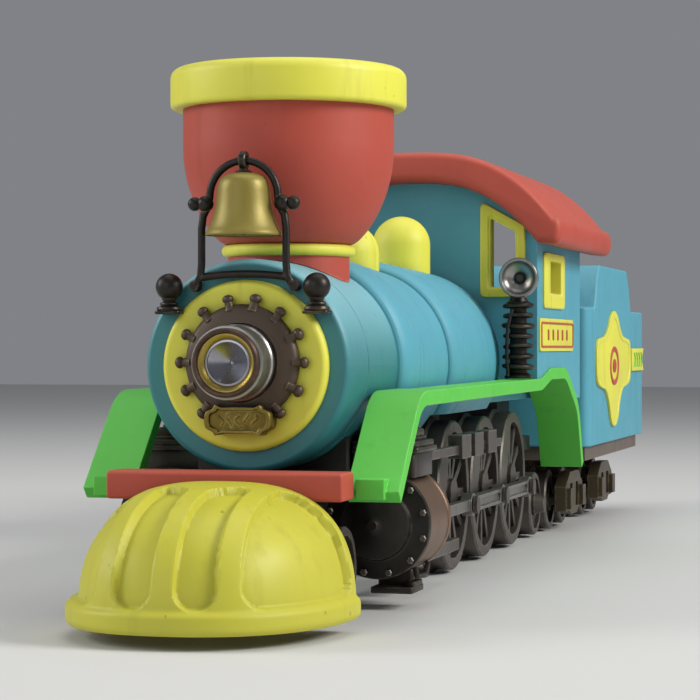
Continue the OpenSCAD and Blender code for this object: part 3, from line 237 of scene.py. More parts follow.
finishes = {
    "yellowPlastic": {
        "base": (0.76, 0.74, 0.075), "wornAndTopLight": (0.86, 0.85, 0.30), "dirtAndShade": (0.30, 0.27, 0.03),
        "roughness": 0.42, "wear": 0.35, "grimeAndShade": 0.5, "chips": 0.5, "bump": 0.08, "paintedTopLight": 0.1},
    "catcherYellow": {
        "base": (0.56, 0.535, 0.045), "wornAndTopLight": (0.72, 0.70, 0.16), "dirtAndShade": (0.26, 0.24, 0.02),
        "roughness": 0.42, "wear": 0.35, "grimeAndShade": 0.6, "chips": 0.8, "bump": 0.10, "paintedTopLight": 0.0},
    # a shaded copy of the blue plastic for the boiler front: a darker base as painted shade, lightened on
    # upward faces as painted top light
    "shadedBluePlastic": {
        "base": (0.028, 0.195, 0.215), "wornAndTopLight": (0.26, 0.56, 0.64), "dirtAndShade": (0.02, 0.09, 0.10),
        "roughness": 0.42, "wear": 0.4, "grimeAndShade": 0.4, "chips": 0.4, "bump": 0.08, "paintedTopLight": 0.85},
    "redPlastic": {
        "base": (0.455, 0.066, 0.040), "wornAndTopLight": (0.68, 0.22, 0.17), "dirtAndShade": (0.14, 0.03, 0.02),
        "roughness": 0.5, "wear": 0.45, "grimeAndShade": 0.4, "chips": 0.4, "bump": 0.10, "paintedTopLight": 0.12},
    "bluePlastic": {
        "base": (0.088, 0.365, 0.475), "wornAndTopLight": (0.30, 0.58, 0.68), "dirtAndShade": (0.03, 0.12, 0.15),
        "roughness": 0.44, "wear": 0.45, "grimeAndShade": 0.4, "chips": 0.4, "bump": 0.09, "paintedTopLight": 0.1},
    "greenPlastic": {
        "base": (0.095, 0.56, 0.052), "wornAndTopLight": (0.30, 0.80, 0.24), "dirtAndShade": (0.04, 0.2, 0.03),
        "roughness": 0.42, "wear": 0.45, "grimeAndShade": 0.3, "chips": 0.3, "bump": 0.07, "paintedTopLight": 0.15},
    "bronzeMetal": {
        "base": (0.030, 0.026, 0.023), "wornAndTopLight": (0.20, 0.16, 0.11), "dirtAndShade": (0.009, 0.008, 0.007),
        "roughness": 0.34, "wear": 0.7, "grimeAndShade": 0.6, "chips": 0.2, "bump": 0.22, "metallic": 0.7},
    "coneBronze": {
        "base": (0.088, 0.062, 0.044), "wornAndTopLight": (0.26, 0.20, 0.14), "dirtAndShade": (0.02, 0.015, 0.012),
        "roughness": 0.4, "wear": 0.6, "grimeAndShade": 0.6, "chips": 0.2, "bump": 0.2, "metallic": 0.45},
    "brassPlate": {
        "base": (0.20, 0.145, 0.028), "wornAndTopLight": (0.52, 0.42, 0.15), "dirtAndShade": (0.025, 0.018, 0.008),
        "roughness": 0.34, "wear": 0.7, "grimeAndShade": 0.9, "chips": 0.1, "bump": 0.2, "metallic": 0.85},
    "silverMetal": {
        "base": (0.33, 0.32, 0.305), "wornAndTopLight": (0.66, 0.65, 0.63), "dirtAndShade": (0.06, 0.055, 0.05),
        "roughness": 0.27, "wear": 0.6, "grimeAndShade": 0.6, "chips": 0.2, "bump": 0.06, "metallic": 0.95},
    "brownRim": {
        "base": (0.055, 0.028, 0.016), "wornAndTopLight": (0.22, 0.13, 0.08), "dirtAndShade": (0.015, 0.01, 0.008),
        "roughness": 0.33, "wear": 0.6, "grimeAndShade": 0.4, "chips": 0.2, "bump": 0.15, "metallic": 0.4},
    "mirrorMetal": {
        "base": (0.36, 0.36, 0.40), "wornAndTopLight": (0.7, 0.7, 0.72), "dirtAndShade": (0.07, 0.065, 0.08),
        "roughness": 0.17, "wear": 0.3, "grimeAndShade": 0.4, "chips": 0.1, "bump": 0.03, "metallic": 1.0},
    "steelRod": {
        "base": (0.24, 0.225, 0.21), "wornAndTopLight": (0.55, 0.53, 0.5), "dirtAndShade": (0.04, 0.034, 0.03),
        "roughness": 0.34, "wear": 0.6, "grimeAndShade": 0.6, "chips": 0.2, "bump": 0.08, "metallic": 0.85},
    "goldRing": {
        "base": (0.40, 0.30, 0.07), "wornAndTopLight": (0.7, 0.56, 0.24), "dirtAndShade": (0.07, 0.045, 0.015),
        "roughness": 0.3, "wear": 0.5, "grimeAndShade": 0.6, "chips": 0.1, "bump": 0.06, "metallic": 0.9},
    "bellMetal": {
        "base": (0.27, 0.215, 0.042), "wornAndTopLight": (0.55, 0.48, 0.16), "dirtAndShade": (0.09, 0.07, 0.018),
        "roughness": 0.42, "wear": 0.6, "grimeAndShade": 0.7, "chips": 0.3, "bump": 0.18, "metallic": 0.3},
    "copperMetal": {
        "base": (0.19, 0.115, 0.075), "wornAndTopLight": (0.52, 0.37, 0.27), "dirtAndShade": (0.03, 0.02, 0.015),
        "roughness": 0.4, "wear": 0.5, "grimeAndShade": 0.6, "chips": 0.3, "bump": 0.12, "metallic": 0.7},
    "chestMetal": {
        "base": (0.050, 0.041, 0.034), "wornAndTopLight": (0.24, 0.20, 0.165), "dirtAndShade": (0.012, 0.01, 0.008),
        "roughness": 0.38, "wear": 0.8, "grimeAndShade": 0.7, "chips": 0.3, "bump": 0.2, "metallic": 0.6},
    "gearMetal": {
        "base": (0.115, 0.098, 0.086), "wornAndTopLight": (0.38, 0.35, 0.31), "dirtAndShade": (0.02, 0.017, 0.014),
        "roughness": 0.4, "wear": 0.75, "grimeAndShade": 0.85, "chips": 0.3, "bump": 0.18, "metallic": 0.65},
    "framePlastic": {
        "base": (0.048, 0.042, 0.038), "wornAndTopLight": (0.17, 0.15, 0.13), "dirtAndShade": (0.014, 0.012, 0.01),
        "roughness": 0.5, "wear": 0.5, "grimeAndShade": 0.5, "chips": 0.2, "bump": 0.15, "metallic": 0.1},
    "sillPlastic": {
        "base": (0.15, 0.115, 0.098), "wornAndTopLight": (0.32, 0.27, 0.24), "dirtAndShade": (0.04, 0.03, 0.025),
        "roughness": 0.5, "wear": 0.5, "grimeAndShade": 0.5, "chips": 0.2, "bump": 0.15, "metallic": 0.1},
    "brassPlastic": {
        "base": (0.085, 0.066, 0.038), "wornAndTopLight": (0.36, 0.29, 0.18), "dirtAndShade": (0.018, 0.014, 0.008),
        "roughness": 0.4, "wear": 0.75, "grimeAndShade": 0.8, "chips": 0.2, "bump": 0.2, "metallic": 0.5},
}


def buildMaterial(name, spec):
    material = bpy.data.materials.new(name)
    material.use_nodes = True
    tree = material.node_tree
    shader = tree.nodes["Principled BSDF"]
    group = tree.nodes.new("ShaderNodeGroup")
    group.node_tree = wearAndShadeGroup
    for label, key in (("Base", "base"), ("Worn And Top Light", "wornAndTopLight"), ("Dirt And Shade", "dirtAndShade")):
        group.inputs[label].default_value = (*spec[key], 1)
    group.inputs["Roughness"].default_value = spec["roughness"]
    group.inputs["Wear"].default_value = spec["wear"]
    group.inputs["Grime And Shade"].default_value = spec["grimeAndShade"]
    group.inputs["Chips"].default_value = spec["chips"]
    group.inputs["Fade"].default_value = spec.get("paintedTopLight", 0.0)
    bump = tree.nodes.new("ShaderNodeBump")
    bump.inputs["Strength"].default_value = spec["bump"]
    bump.inputs["Distance"].default_value = 0.0006
    tree.links.new(group.outputs["Height"], bump.inputs["Height"])
    tree.links.new(group.outputs["Color"], shader.inputs["Base Color"])
    tree.links.new(group.outputs["Roughness"], shader.inputs["Roughness"])
    tree.links.new(bump.outputs["Normal"], shader.inputs["Normal"])
    shader.inputs["Metallic"].default_value = spec.get("metallic", 0.0)
    shader.inputs["Specular IOR Level"].default_value = 0.45
    return material


materials = {name: buildMaterial(name, spec) for name, spec in finishes.items()}
print("materials made:", len(materials))

# ways to make a piece


def addPiece(name, mesh, finish, body, replaces=()):
    o = bpy.data.objects.new(name, mesh)
    scene.collection.objects.link(o)
    if finish:
        mesh.materials.clear()
        mesh.materials.append(materials[finish])
    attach(o, body)
    if replaces:
        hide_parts(*replaces)
    return o


def shadeSmooth(mesh, angle=35):
    mesh.shade_smooth()
    bm = bmesh.new()
    bm.from_mesh(mesh)
    for e in bm.edges:
        if len(e.link_faces) == 2 and e.calc_face_angle(0) > math.radians(angle):
            e.smooth = False
    bm.to_mesh(mesh)
    bm.free()


def settle(bm, name, angle=35):
    bmesh.ops.remove_doubles(bm, verts=bm.verts, dist=1e-6)
    bmesh.ops.recalc_face_normals(bm, faces=bm.faces)
    mesh = bpy.data.meshes.new(name)
    bm.to_mesh(mesh)
    bm.free()
    shadeSmooth(mesh, angle)
    return mesh


# The object with its modifiers as a plain mesh.
def applied(o):
    graph = bpy.context.evaluated_depsgraph_get()
    mesh = bpy.data.meshes.new_from_object(o.evaluated_get(graph))
    o.modifiers.clear()
    old = o.data
    o.data = mesh
    bpy.data.meshes.remove(old)
    return o


# A copy of a CAD node with its sharp edges rounded over.
def softened(node, finish, body, width=0.5, segments=3, angle=32):
    bm = bmesh.new()
    bm.from_mesh(nodes[node].data)
    bmesh.ops.remove_doubles(bm, verts=bm.verts, dist=2e-6)
    bmesh.ops.dissolve_limit(bm, angle_limit=math.radians(1), verts=bm.verts, edges=bm.edges)
    mesh = bpy.data.meshes.new(node)
    bm.to_mesh(mesh)
    bm.free()
    shadeSmooth(mesh, angle)
    o = addPiece(node + "Body", mesh, finish, body, (node,))
    bevel = o.modifiers.new("edges", "BEVEL")
    bevel.width = width * mm
    bevel.segments = segments
    bevel.limit_method = "ANGLE"
    bevel.angle_limit = math.radians(angle)
    bevel.use_clamp_overlap = True
    bevel.harden_normals = True
    return applied(o)


# An open or closed outline with each corner rounded by its radius.
def roundedLine(points, radii, steps=6):
    out = []
    last = len(points) - 1
    for i, p in enumerate(points):
        r = radii[i] if isinstance(radii, (list, tuple)) else radii
        if r == 0 or i == 0 or i == last:
            out.append(tuple(p))
            continue
        a, b, c = Vector(points[i - 1]), Vector(p), Vector(points[i + 1])
        u, v = (a - b).normalized(), (c - b).normalized()
        half = u.angle(v) / 2
        reach = min(r / math.tan(half), (a - b).length * 0.49, (c - b).length * 0.49)
        for k in range(steps + 1):
            t = k / steps
            q = (1 - t) ** 2 * (b + u * reach) + 2 * t * (1 - t) * b + t * t * (b + v * reach)
            out.append((q.x, q.y))
    return out


# Turns (radius, along) points, in millimetres, round an axis through centre.
def lathe(name, profile, centre, axis="y", around=96, closed=False, angle=35):
    bm = bmesh.new()
    rings = []
    cx, cy = centre
    for r, t in profile:
        ring = []
        count = 1 if r < 1e-5 else around
        for k in range(count):
            a = 2 * math.pi * k / around
            u, v = r * math.cos(a), r * math.sin(a)
            spot = {"y": (cx + u, t, cy + v), "x": (t, cx + u, cy + v), "z": (cx + u, cy + v, t)}[axis]
            ring.append(bm.verts.new(Vector(spot) * mm))
        rings.append(ring)
    pairs = list(zip(rings, rings[1:]))
    if closed:
        pairs.append((rings[-1], rings[0]))
    for a, b in pairs:
        for k in range(around):
            j = (k + 1) % around
            corners = [a[k % len(a)], a[j % len(a)], b[j % len(b)], b[k % len(b)]]
            unique = list(dict.fromkeys(corners))
            if len(unique) > 2:
                bm.faces.new(unique)
    return settle(bm, name, angle)


# A surface through rows of equally many points, in millimetres.
def grid(name, rows, closedU=False, caps=False, angle=35, closedV=False):
    bm = bmesh.new()
    made = [[bm.verts.new(Vector(p) * mm) for p in row] for row in rows]
    n = len(rows[0])
    pairs = list(zip(made, made[1:]))
    if closedV:
        pairs.append((made[-1], made[0]))
    for a, b in pairs:
        for k in range(n if closedU else n - 1):
            j = (k + 1) % n
            bm.faces.new([a[k], a[j], b[j], b[k]])
    if caps:
        bm.faces.new(made[0])
        bm.faces.new(list(reversed(made[-1])))
    return settle(bm, name, angle)


# A round rod along a path, in millimetres.
def tube(name, path, radius, around=12):
    curve = bpy.data.curves.new(name, "CURVE")
    curve.dimensions = "3D"
    spline = curve.splines.new("POLY")
    spline.points.add(len(path) - 1)
    for i, p in enumerate(path):
        spline.points[i].co = (p[0] * mm, p[1] * mm, p[2] * mm, 1)
    curve.bevel_depth = radius * mm
    curve.bevel_resolution = max(1, around // 4)
    curve.use_fill_caps = True
    o = bpy.data.objects.new(name, curve)
    scene.collection.objects.link(o)
    graph = bpy.context.evaluated_depsgraph_get()
    mesh = bpy.data.meshes.new_from_object(o.evaluated_get(graph))
    bpy.data.objects.remove(o)
    bm = bmesh.new()
    bm.from_mesh(mesh)
    bpy.data.meshes.remove(mesh)
    return settle(bm, name, 50)


# An outline, in millimetres, pushed from low to high along an axis, with rounded edges.
def slab(name, outline, axis, low, high, bevel=0.3):
    bm = bmesh.new()

    def spot(p, t):
        return Vector({"x": (t, p[0], p[1]), "y": (p[0], t, p[1]), "z": (p[0], p[1], t)}[axis]) * mm

    bottom = [bm.verts.new(spot(p, low)) for p in outline]
    top = [bm.verts.new(spot(p, high)) for p in outline]
    bm.faces.new(bottom)
    bm.faces.new(list(reversed(top)))
    for k in range(len(outline)):
        j = (k + 1) % len(outline)
        bm.faces.new([bottom[k], bottom[j], top[j], top[k]])
    bmesh.ops.recalc_face_normals(bm, faces=bm.faces)
    if bevel:
        rim = [e for e in bm.edges if e.calc_face_angle(0) > math.radians(40)]
        bmesh.ops.bevel(bm, geom=rim, offset=bevel * mm, segments=2, profile=0.5,
                        affect="EDGES", clamp_overlap=True)
    return settle(bm, name, 40)


# Several meshes as one.
def joined(name, meshes):
    bm = bmesh.new()
    for m in meshes:
        bm.from_mesh(m)
        bpy.data.meshes.remove(m)
    mesh = bpy.data.meshes.new(name)
    bm.to_mesh(mesh)
    bm.free()
    return mesh


# Geometry nodes: one part on every point of the host, turned by the host's own euler values.
def spreadTree():
    tree = bpy.data.node_groups.new("partOnPoints", "GeometryNodeTree")
    face = tree.interface
    face.new_socket("Geometry", in_out="INPUT", socket_type="NodeSocketGeometry")
    face.new_socket("Part", in_out="INPUT", socket_type="NodeSocketObject")
    face.new_socket("Scale", in_out="INPUT", socket_type="NodeSocketFloat").default_value = 1.0
    face.new_socket("Size Spread", in_out="INPUT", socket_type="NodeSocketFloat").default_value = 0.0
    face.new_socket("Seed", in_out="INPUT", socket_type="NodeSocketInt").default_value = 1
    face.new_socket("Finish", in_out="INPUT", socket_type="NodeSocketMaterial")
    face.new_socket("Geometry", in_out="OUTPUT", socket_type="NodeSocketGeometry")
    add, link = tree.nodes.new, tree.links.new
    given, out = add("NodeGroupInput"), add("NodeGroupOutput")
    part = add("GeometryNodeObjectInfo")
    turn = add("GeometryNodeInputNamedAttribute")
    turn.data_type = "FLOAT_VECTOR"
    turn.inputs["Name"].default_value = "turn"
    rotate = add("FunctionNodeEulerToRotation")
    low, high, pick = add("ShaderNodeMath"), add("ShaderNodeMath"), add("FunctionNodeRandomValue")
    low.operation, high.operation = "SUBTRACT", "ADD"
    place = add("GeometryNodeInstanceOnPoints")
    real, paint = add("GeometryNodeRealizeInstances"), add("GeometryNodeSetMaterial")
    link(given.outputs["Part"], part.inputs["Object"])
    link(turn.outputs["Attribute"], rotate.inputs["Euler"])
    for n in (low, high):
        link(given.outputs["Scale"], n.inputs[0])
        link(given.outputs["Size Spread"], n.inputs[1])
    link(low.outputs[0], pick.inputs[2])
    link(high.outputs[0], pick.inputs[3])
    link(given.outputs["Seed"], pick.inputs["Seed"])
    link(given.outputs["Geometry"], place.inputs["Points"])
    link(part.outputs["Geometry"], place.inputs["Instance"])
    link(rotate.outputs["Rotation"], place.inputs["Rotation"])
    link(pick.outputs[1], place.inputs["Scale"])
    link(place.outputs["Instances"], real.inputs["Geometry"])
    link(real.outputs["Geometry"], paint.inputs["Geometry"])
    link(given.outputs["Finish"], paint.inputs["Material"])
    link(paint.outputs["Geometry"], out.inputs["Geometry"])
    return tree


partTree = spreadTree()


# Copies of a small mesh at (point, euler) places, in millimetres, as one piece on one body.
def spread(name, part, places, finish, body, sizeSpread=0.0, seed=1):
    template = bpy.data.objects.new(name + "Template", part)
    scene.collection.objects.link(template)
    host = bpy.data.meshes.new(name + "Points")
    host.from_pydata([Vector(p) * mm for p, _ in places], [], [])
    turns = host.attributes.new("turn", "FLOAT_VECTOR", "POINT")
    for i, (_, e) in enumerate(places):
        turns.data[i].vector = e
    o = bpy.data.objects.new(name, host)
    scene.collection.objects.link(o)
    modifier = o.modifiers.new("spread", "NODES")
    modifier.node_group = partTree
    values = {"Part": template, "Size Spread": sizeSpread, "Seed": seed, "Finish": materials[finish]}
    for item in partTree.interface.items_tree:
        if item.in_out == "INPUT" and item.name in values:
            modifier[item.identifier] = values[item.name]
    applied(o)
    bpy.data.objects.remove(template)
    shadeSmooth(o.data, 40)
    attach(o, body)


# landmarks, from the frame


def low(node):
    return [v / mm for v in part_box(node)[0]]


def high(node):
    return [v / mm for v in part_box(node)[1]]


# plain coats for the CAD nodes that keep their shape

coats = {
    # the boiler front takes the darker, shaded copy of the blue as painted shade
    "shadedBluePlastic": ["boiler_front"],
    "bluePlastic": ["boiler_middle", "boiler_rear", "cab_shell", "tender_shell"],
    "yellowPlastic": ["cowcatcher", "smokebox_door", "stack_collar", "stack_rim", "front_dome", "rear_dome",
                      "side_window_left", "side_window_right", "front_windows", "nameplates",
                      "tender_crest_left", "tender_crest_right"],
    "redPlastic": ["buffer_beam", "stack_neck", "stack_bowl", "cab_roof"],
    "greenPlastic": ["running_board_left", "running_board_right"],
    "bronzeMetal": ["headlight_base", "marker_lamp_left", "marker_lamp_right", "bell_bracket",
                    "bell_clapper", "air_pump", "cylinder_cover_left", "cylinder_cover_right"],
    "brassPlate": ["number_plate"],
    "silverMetal": ["headlight_barrel", "headlight_reflector", "pump_horn"],
    "brownRim": ["headlight_rim"],
    "bellMetal": ["bell"],
    "copperMetal": ["cylinder_left", "cylinder_right"],
    "gearMetal": ["drivers_front", "drivers_main", "drivers_rear", "side_rod_left", "side_rod_right",
                  "pilot_wheels", "trailing_wheels", "valve_gear", "tender_wheels_1", "tender_wheels_2",
                  "tender_wheels_3", "tender_wheels_4"],
    "framePlastic": ["main_frame", "gearmotor", "pilot_truck", "trailing_truck", "rear_coupler"],
    "sillPlastic": ["tender_frame"],
    "brassPlastic": ["tender_truck_front", "tender_truck_rear"],
}


def coatNodes():
    for finish, names in coats.items():
        for name in names:
            o = nodes[name]
            if not o.material_slots:
                o.data.materials.append(materials[finish])
            for s in o.material_slots:
                s.material = materials[finish]


coatNodes()
print("CAD nodes coated")

# lengthwise places count from the smokebox door's face, as the CAD model's do
zeroY = high("smokebox_door")[1] - 1


def at(y):
    return zeroY + y


# a closed smooth outline through a few points
def smoothLoop(points, steps=5):
    n = len(points)
    out = []
    for i in range(n):
        a, b, c, d = (Vector(points[(i + k) % n]) for k in (-1, 0, 1, 2))
        for k in range(steps):
            t = k / steps
            q = 0.5 * ((2 * b) + (c - a) * t + (2 * a - 5 * b + 4 * c - d) * t ** 2
                       + (3 * b - a - 3 * c + d) * t ** 3)
            out.append((q.x, q.y))
    return out


# a rounded rectangle as an outline
def roundedBox(x0, y0, x1, y1, r, steps=5):
    out = []
    for cx, cy, start in ((x1 - r, y1 - r, 0), (x0 + r, y1 - r, 90), (x0 + r, y0 + r, 180),
                          (x1 - r, y0 + r, 270)):
        for k in range(steps + 1):
            a = math.radians(start + 90 * k / steps)
            out.append((cx + r * math.cos(a), cy + r * math.sin(a)))
    return out


# a frame between two outlines of equally many points, with its front edges eased
def ringSlab(name, outer, inner, axis, low, high, ease=0.35):
    def spot(p, t):
        return {"x": (t, p[0], p[1]), "y": (p[0], t, p[1]), "z": (p[0], p[1], t)}[axis]

    def between(t):
        return [tuple(a + (b - a) * t for a, b in zip(p, q)) for p, q in zip(outer, inner)]

    width = max(math.dist(outer[0], inner[0]), 0.1)
    step = math.copysign(ease, high - low)
    share = ease / width
    rows = [(outer, low), (outer, high - step), (between(share), high), (between(1 - share), high),
            (inner, high - step), (inner, low)]
    return grid(name, [[spot(p, t) for p in line] for line, t in rows], closedU=True, closedV=True)


def ballProfile(r, z, share=1.0, steps=18):
    return [(r * math.sin(math.pi * share * k / steps), z + r * math.cos(math.pi * share * k / steps))
            for k in range(steps + 1)]


def smoothStep(value, low, high):
    t = min(1.0, max(0.0, (value - low) / (high - low)))
    return t * t * (3 - 2 * t)


# the cowcatcher: a swollen quarter dome with four pressed panels and a rounded skirt
catcher = {"across": 300, "upward": 130, "wall": 4.0, "plan": 0.86, "rise": 0.72, "panelDepth": 2.2,
           "softEdge": 0.85, "corner": 5.6, "skirt": 1.3, "skirtTop": 6.0, "panelFoot": 5.0,
           "panelHead": 77.0,
           "slotTop": (2.6, 14.2), "slotFoot": (3.3, 16.6), "sideTop": 19.4, "sideFoot": 22.2,
           "backStrip": 4.0}


def power(value, exponent):
    return math.copysign(abs(value) ** exponent, value)


def catcherMesh():
    c = catcher
    lo, hi = low("cowcatcher"), high("cowcatcher")
    a, b, h = (hi[0] - lo[0]) / 2, hi[1] - lo[1], hi[2] - lo[2]

    def spot(u, v, inset):
        return Vector(((a - inset) * power(math.cos(v), c["rise"]) * power(math.cos(u), c["plan"]),
                       hi[1] - (b - inset) * power(math.cos(v), c["rise"]) * power(math.sin(u), c["plan"]),
                       lo[2] + (h - inset) * power(math.sin(v), c["rise"])))

    def inset(u, v):
        p = spot(u, v, 0)
        x, up = abs(p.x), (p.z - lo[2]) / h
        foot, head = (math.degrees(v) - c["panelFoot"]) * 0.8, (c["panelHead"] - math.degrees(v)) * 0.8
        slot = [c["slotFoot"][k] + (c["slotTop"][k] - c["slotFoot"][k]) * up for k in (0, 1)]
        side = c["sideFoot"] + (c["sideTop"] - c["sideFoot"]) * up
        regions = ((x - slot[0], slot[1] - x, foot, head), (x - side, hi[1] - c["backStrip"] - p.y, foot))
        depth = 0.0
        for edges in regions:
            away = c["corner"] - math.hypot(*(max(0.0, c["corner"] - e) for e in edges))
            depth = max(depth, smoothStep(away, 0, c["softEdge"]))
        skirt = c["skirt"] * smoothStep(p.z - lo[2], c["skirtTop"] - 1, c["skirtTop"] + 1.2)
        bottomRound = 1.2 * (1 - smoothStep(p.z - lo[2], -0.8, 1.6))
        return depth * c["panelDepth"] + skirt + bottomRound

    bm = bmesh.new()
    rings = []
    n = c["across"]
    for j in range(c["upward"] + 1):
        v = math.pi / 2 * (j / c["upward"]) ** 1.15
        us = [math.pi * i / n for i in range(n + 1)]
        outer = [bm.verts.new(spot(u, v, inset(u, v)) * mm) for u in us]
        inner = [bm.verts.new(spot(u, v, c["wall"] + c["panelDepth"]) * mm) for u in us]
        rings.append(outer + inner[::-1])
    count = len(rings[0])
    for lower, upper in zip(rings, rings[1:]):
        for k in range(count):
            j = (k + 1) % count
            bm.faces.new([lower[k], lower[j], upper[j], upper[k]])
    for k in range(n):
        bm.faces.new([rings[0][k + 1], rings[0][k], rings[0][count - 1 - k], rings[0][count - 2 - k]])
    return settle(bm, "cowcatcherShell", 50)


addPiece("cowcatcherShell", catcherMesh(), "catcherYellow", "locomotive", ("cowcatcher",))
print("cowcatcher made")

# the roof: one arched board with round eaves and round ends
roof = {"drop": 30.5, "bend": 3.0, "innerHalf": 50.5, "innerDrop": 24.0, "innerBend": 2.6, "thick": 11.3,
        "eave": 3.6, "eaveDip": 1.4, "endRound": 3.2, "steps": 40}


def roofMesh():
    lo, hi = low("cab_roof"), high("cab_roof")
    w, crown = hi[0], hi[2]

    def section(e):
        half = w - e
        line = w - roof["eave"]

        def top(x):
            return crown - e - roof["drop"] * abs(x / w) ** roof["bend"]

        def bottom(x):
            fall = roof["innerDrop"] * abs(x / roof["innerHalf"]) ** roof["innerBend"]
            return crown - roof["thick"] + e - fall

        foot = bottom(roof["innerHalf"] * 0.99) - roof["eaveDip"]
        out = [(line * (2 * k / roof["steps"] - 1), top(line * (2 * k / roof["steps"] - 1)))
               for k in range(roof["steps"] + 1)]
        zt, zb = top(line), foot
        middle, tall = (zt + zb) / 2, (zt - zb) / 2
        arc = [(line + (half - line) * power(math.cos(a), 0.75), middle + tall * power(math.sin(a), 0.85))
               for a in (math.radians(90 - 180 * k / 14) for k in range(1, 15))]
        inner = roof["innerHalf"]
        under = [(inner * (1 - 2 * k / roof["steps"]), bottom(inner * (1 - 2 * k / roof["steps"])))
                 for k in range(roof["steps"] + 1)]
        back = [(-x, z) for x, z in reversed(arc)]
        return out + arc + under + back

    rows = []
    r = roof["endRound"]
    for end, sign in ((lo[1], 1), (hi[1], -1)):
        part = []
        for k in range(8):
            a = math.pi / 2 * k / 7
            y = end + sign * r * (1 - math.sin(a))
            part.append([(x, y, z) for x, z in section(r * (1 - math.cos(a)) * 0.9)])
        rows += part[::-1] if sign > 0 else part
    return grid("roofBoard", rows, closedU=True, caps=True, angle=50)


addPiece("roofBoard", roofMesh(), "redPlastic", "locomotive", ("cab_roof",))
print("roof made")

# the balloon stack: bowl, collar, rim, and the two domes
stack = {"neckRound": 0.62, "fullAt": 1.45, "steps": 48, "wall": 4.0, "floorShare": 0.66, "rimRound": 3.4,
         "lip": 1.8}
stackAt = (0, (low("stack_rim")[1] + high("stack_rim")[1]) / 2)


def stackMeshes():
    base, top = low("stack_bowl")[2], high("stack_bowl")[2]
    full, neck = high("stack_bowl")[0], high("stack_neck")[0]

    def radius(t):
        return neck + (full - neck) * math.sin(math.pi / 2 * min(1,
                                                                 t * stack["fullAt"])) ** stack["neckRound"]

    floor = base + stack["floorShare"] * (top - base)
    outside = [(radius((k / stack["steps"]) ** 1.6), base + (top - base) * (k / stack["steps"]) ** 1.6)
               for k in range(stack["steps"] + 1)]
    inside = [(full - stack["wall"], top), (full - stack["wall"], floor + 3),
              (full - stack["wall"] - 1, floor + 0.8), (full - stack["wall"] - 4, floor), (0, floor)]
    bowl = lathe("stackBowl", [(0, base)] + outside + inside, stackAt, "z", 160)
    lo, hi, r = low("stack_rim")[2], high("stack_rim")[2], stack["rimRound"]
    edge = high("stack_rim")[0]
    seat = full - 0.2
    profile = [(seat, lo), (edge - 1.6, lo)]
    profile += [(edge - 1.6 + 1.6 * math.sin(a), lo + 1.6 - 1.6 * math.cos(a))
                for a in (math.pi / 2 * k / 6 for k in range(1, 7))]
    profile += [(edge - r + r * math.cos(a), hi - r + r * math.sin(a))
                for a in (math.pi / 2 * k / 10 for k in range(11))]
    inner = full - stack["wall"]
    profile += [(inner + stack["lip"] - stack["lip"] * math.sin(a),
                 hi - stack["lip"] + stack["lip"] * math.cos(a))
                for a in (math.pi / 2 * k / 6 for k in range(7))]
    profile += [(inner, lo + 2), (seat, lo + 2)]
    rim = lathe("stackRim", profile, stackAt, "z", 160, closed=True)
    zc = (low("stack_collar")[2] + high("stack_collar")[2]) / 2
    ring = [(neck + 1.9 * math.cos(a), zc + 1.9 * math.sin(a))
            for a in (math.pi * (k / 12 - 0.5) for k in range(13))]
    collar = lathe("stackCollar", [(neck - 3, zc - 1.9)] + ring + [(neck - 3, zc + 1.9)], stackAt, "z", 128,
                   closed=True)
    return bowl, rim, collar


bowlMesh, rimMesh, collarMesh = stackMeshes()
addPiece("stackBowl", bowlMesh, "redPlastic", "locomotive", ("stack_bowl",))
addPiece("stackRim", rimMesh, "yellowPlastic", "locomotive", ("stack_rim",))
addPiece("stackCollar", collarMesh, "yellowPlastic", "locomotive", ("stack_collar",))
for name in ("front_dome", "rear_dome"):
    lo, hi = low(name), high(name)
    r = hi[0]
    cap = [(r * math.cos(a), hi[2] - r + r * math.sin(a)) for a in (math.pi / 2 * k / 18 for k in range(19))]
    mesh = lathe(name + "Cap", [(0, lo[2]), (r, lo[2])] + cap, (0, (lo[1] + hi[1]) / 2), "z", 96)
    addPiece(name + "Cap", mesh, "yellowPlastic", "locomotive", (name,))
print("stack and domes made")

# softened copies of the flat-sided CAD pieces
softEdges = {
    "running_board_left": ("greenPlastic", "locomotive", 1.1, 4),
             "running_board_right": ("greenPlastic", "locomotive", 1.1, 4),
    "buffer_beam": ("redPlastic", "locomotive", 0.9, 3), "cab_shell": ("bluePlastic", "locomotive", 0.5, 2),
    "tender_shell": ("bluePlastic", "tender", 0.9, 3), "tender_frame": ("sillPlastic", "tender", 0.5, 2),
    "side_rod_left": ("steelRod", "side_rod_left", 0.35, 2),
             "side_rod_right": ("steelRod", "side_rod_right", 0.35, 2),
    "tender_truck_front": ("brassPlastic", "tender_truck_front", 0.4, 2),
    "tender_truck_rear": ("brassPlastic", "tender_truck_rear", 0.4, 2),
}
for node, (finish, body, width, segments) in softEdges.items():
    softened(node, finish, body, width, segments)
print("edges softened")

# the headlight: studded base, barrel, rim, gold ring and reflector
headlight = {"studs": 14, "studReach": 2.6, "studR": 1.6, "rimOut": 10.2, "rimIn": 8.6, "baseR": 17.5,
             "ringIn": 6.7, "barrelR": 11.0, "recess": 2.6, "coneDeep": 5.0}
lampZ = (low("headlight_base")[2] + high("headlight_base")[2]) / 2
baseFace = low("headlight_base")[1]
lampFront = low("headlight_rim")[1]
lampAxis = (0, lampZ)
doorBack = low("smokebox_door")[1]


def studMesh():
    r, reach = headlight["studR"], headlight["studReach"]
    profile = [(0, -1.6), (r * 1.25, -1.6), (r * 0.95, -0.4), (r * 0.8, reach * 0.35),
               (r * 0.85, reach * 0.5)]
    profile += [(r * 1.15 * math.cos(a), reach * 0.75 + r * 0.9 * math.sin(a))
                for a in (math.radians(-50 + 140 * k / 7) for k in range(8))]
    return lathe("stud", [(max(p, 0.0), t) for p, t in profile[:-1]] + [(0, profile[-1][1])], (0, 0), "z", 14)


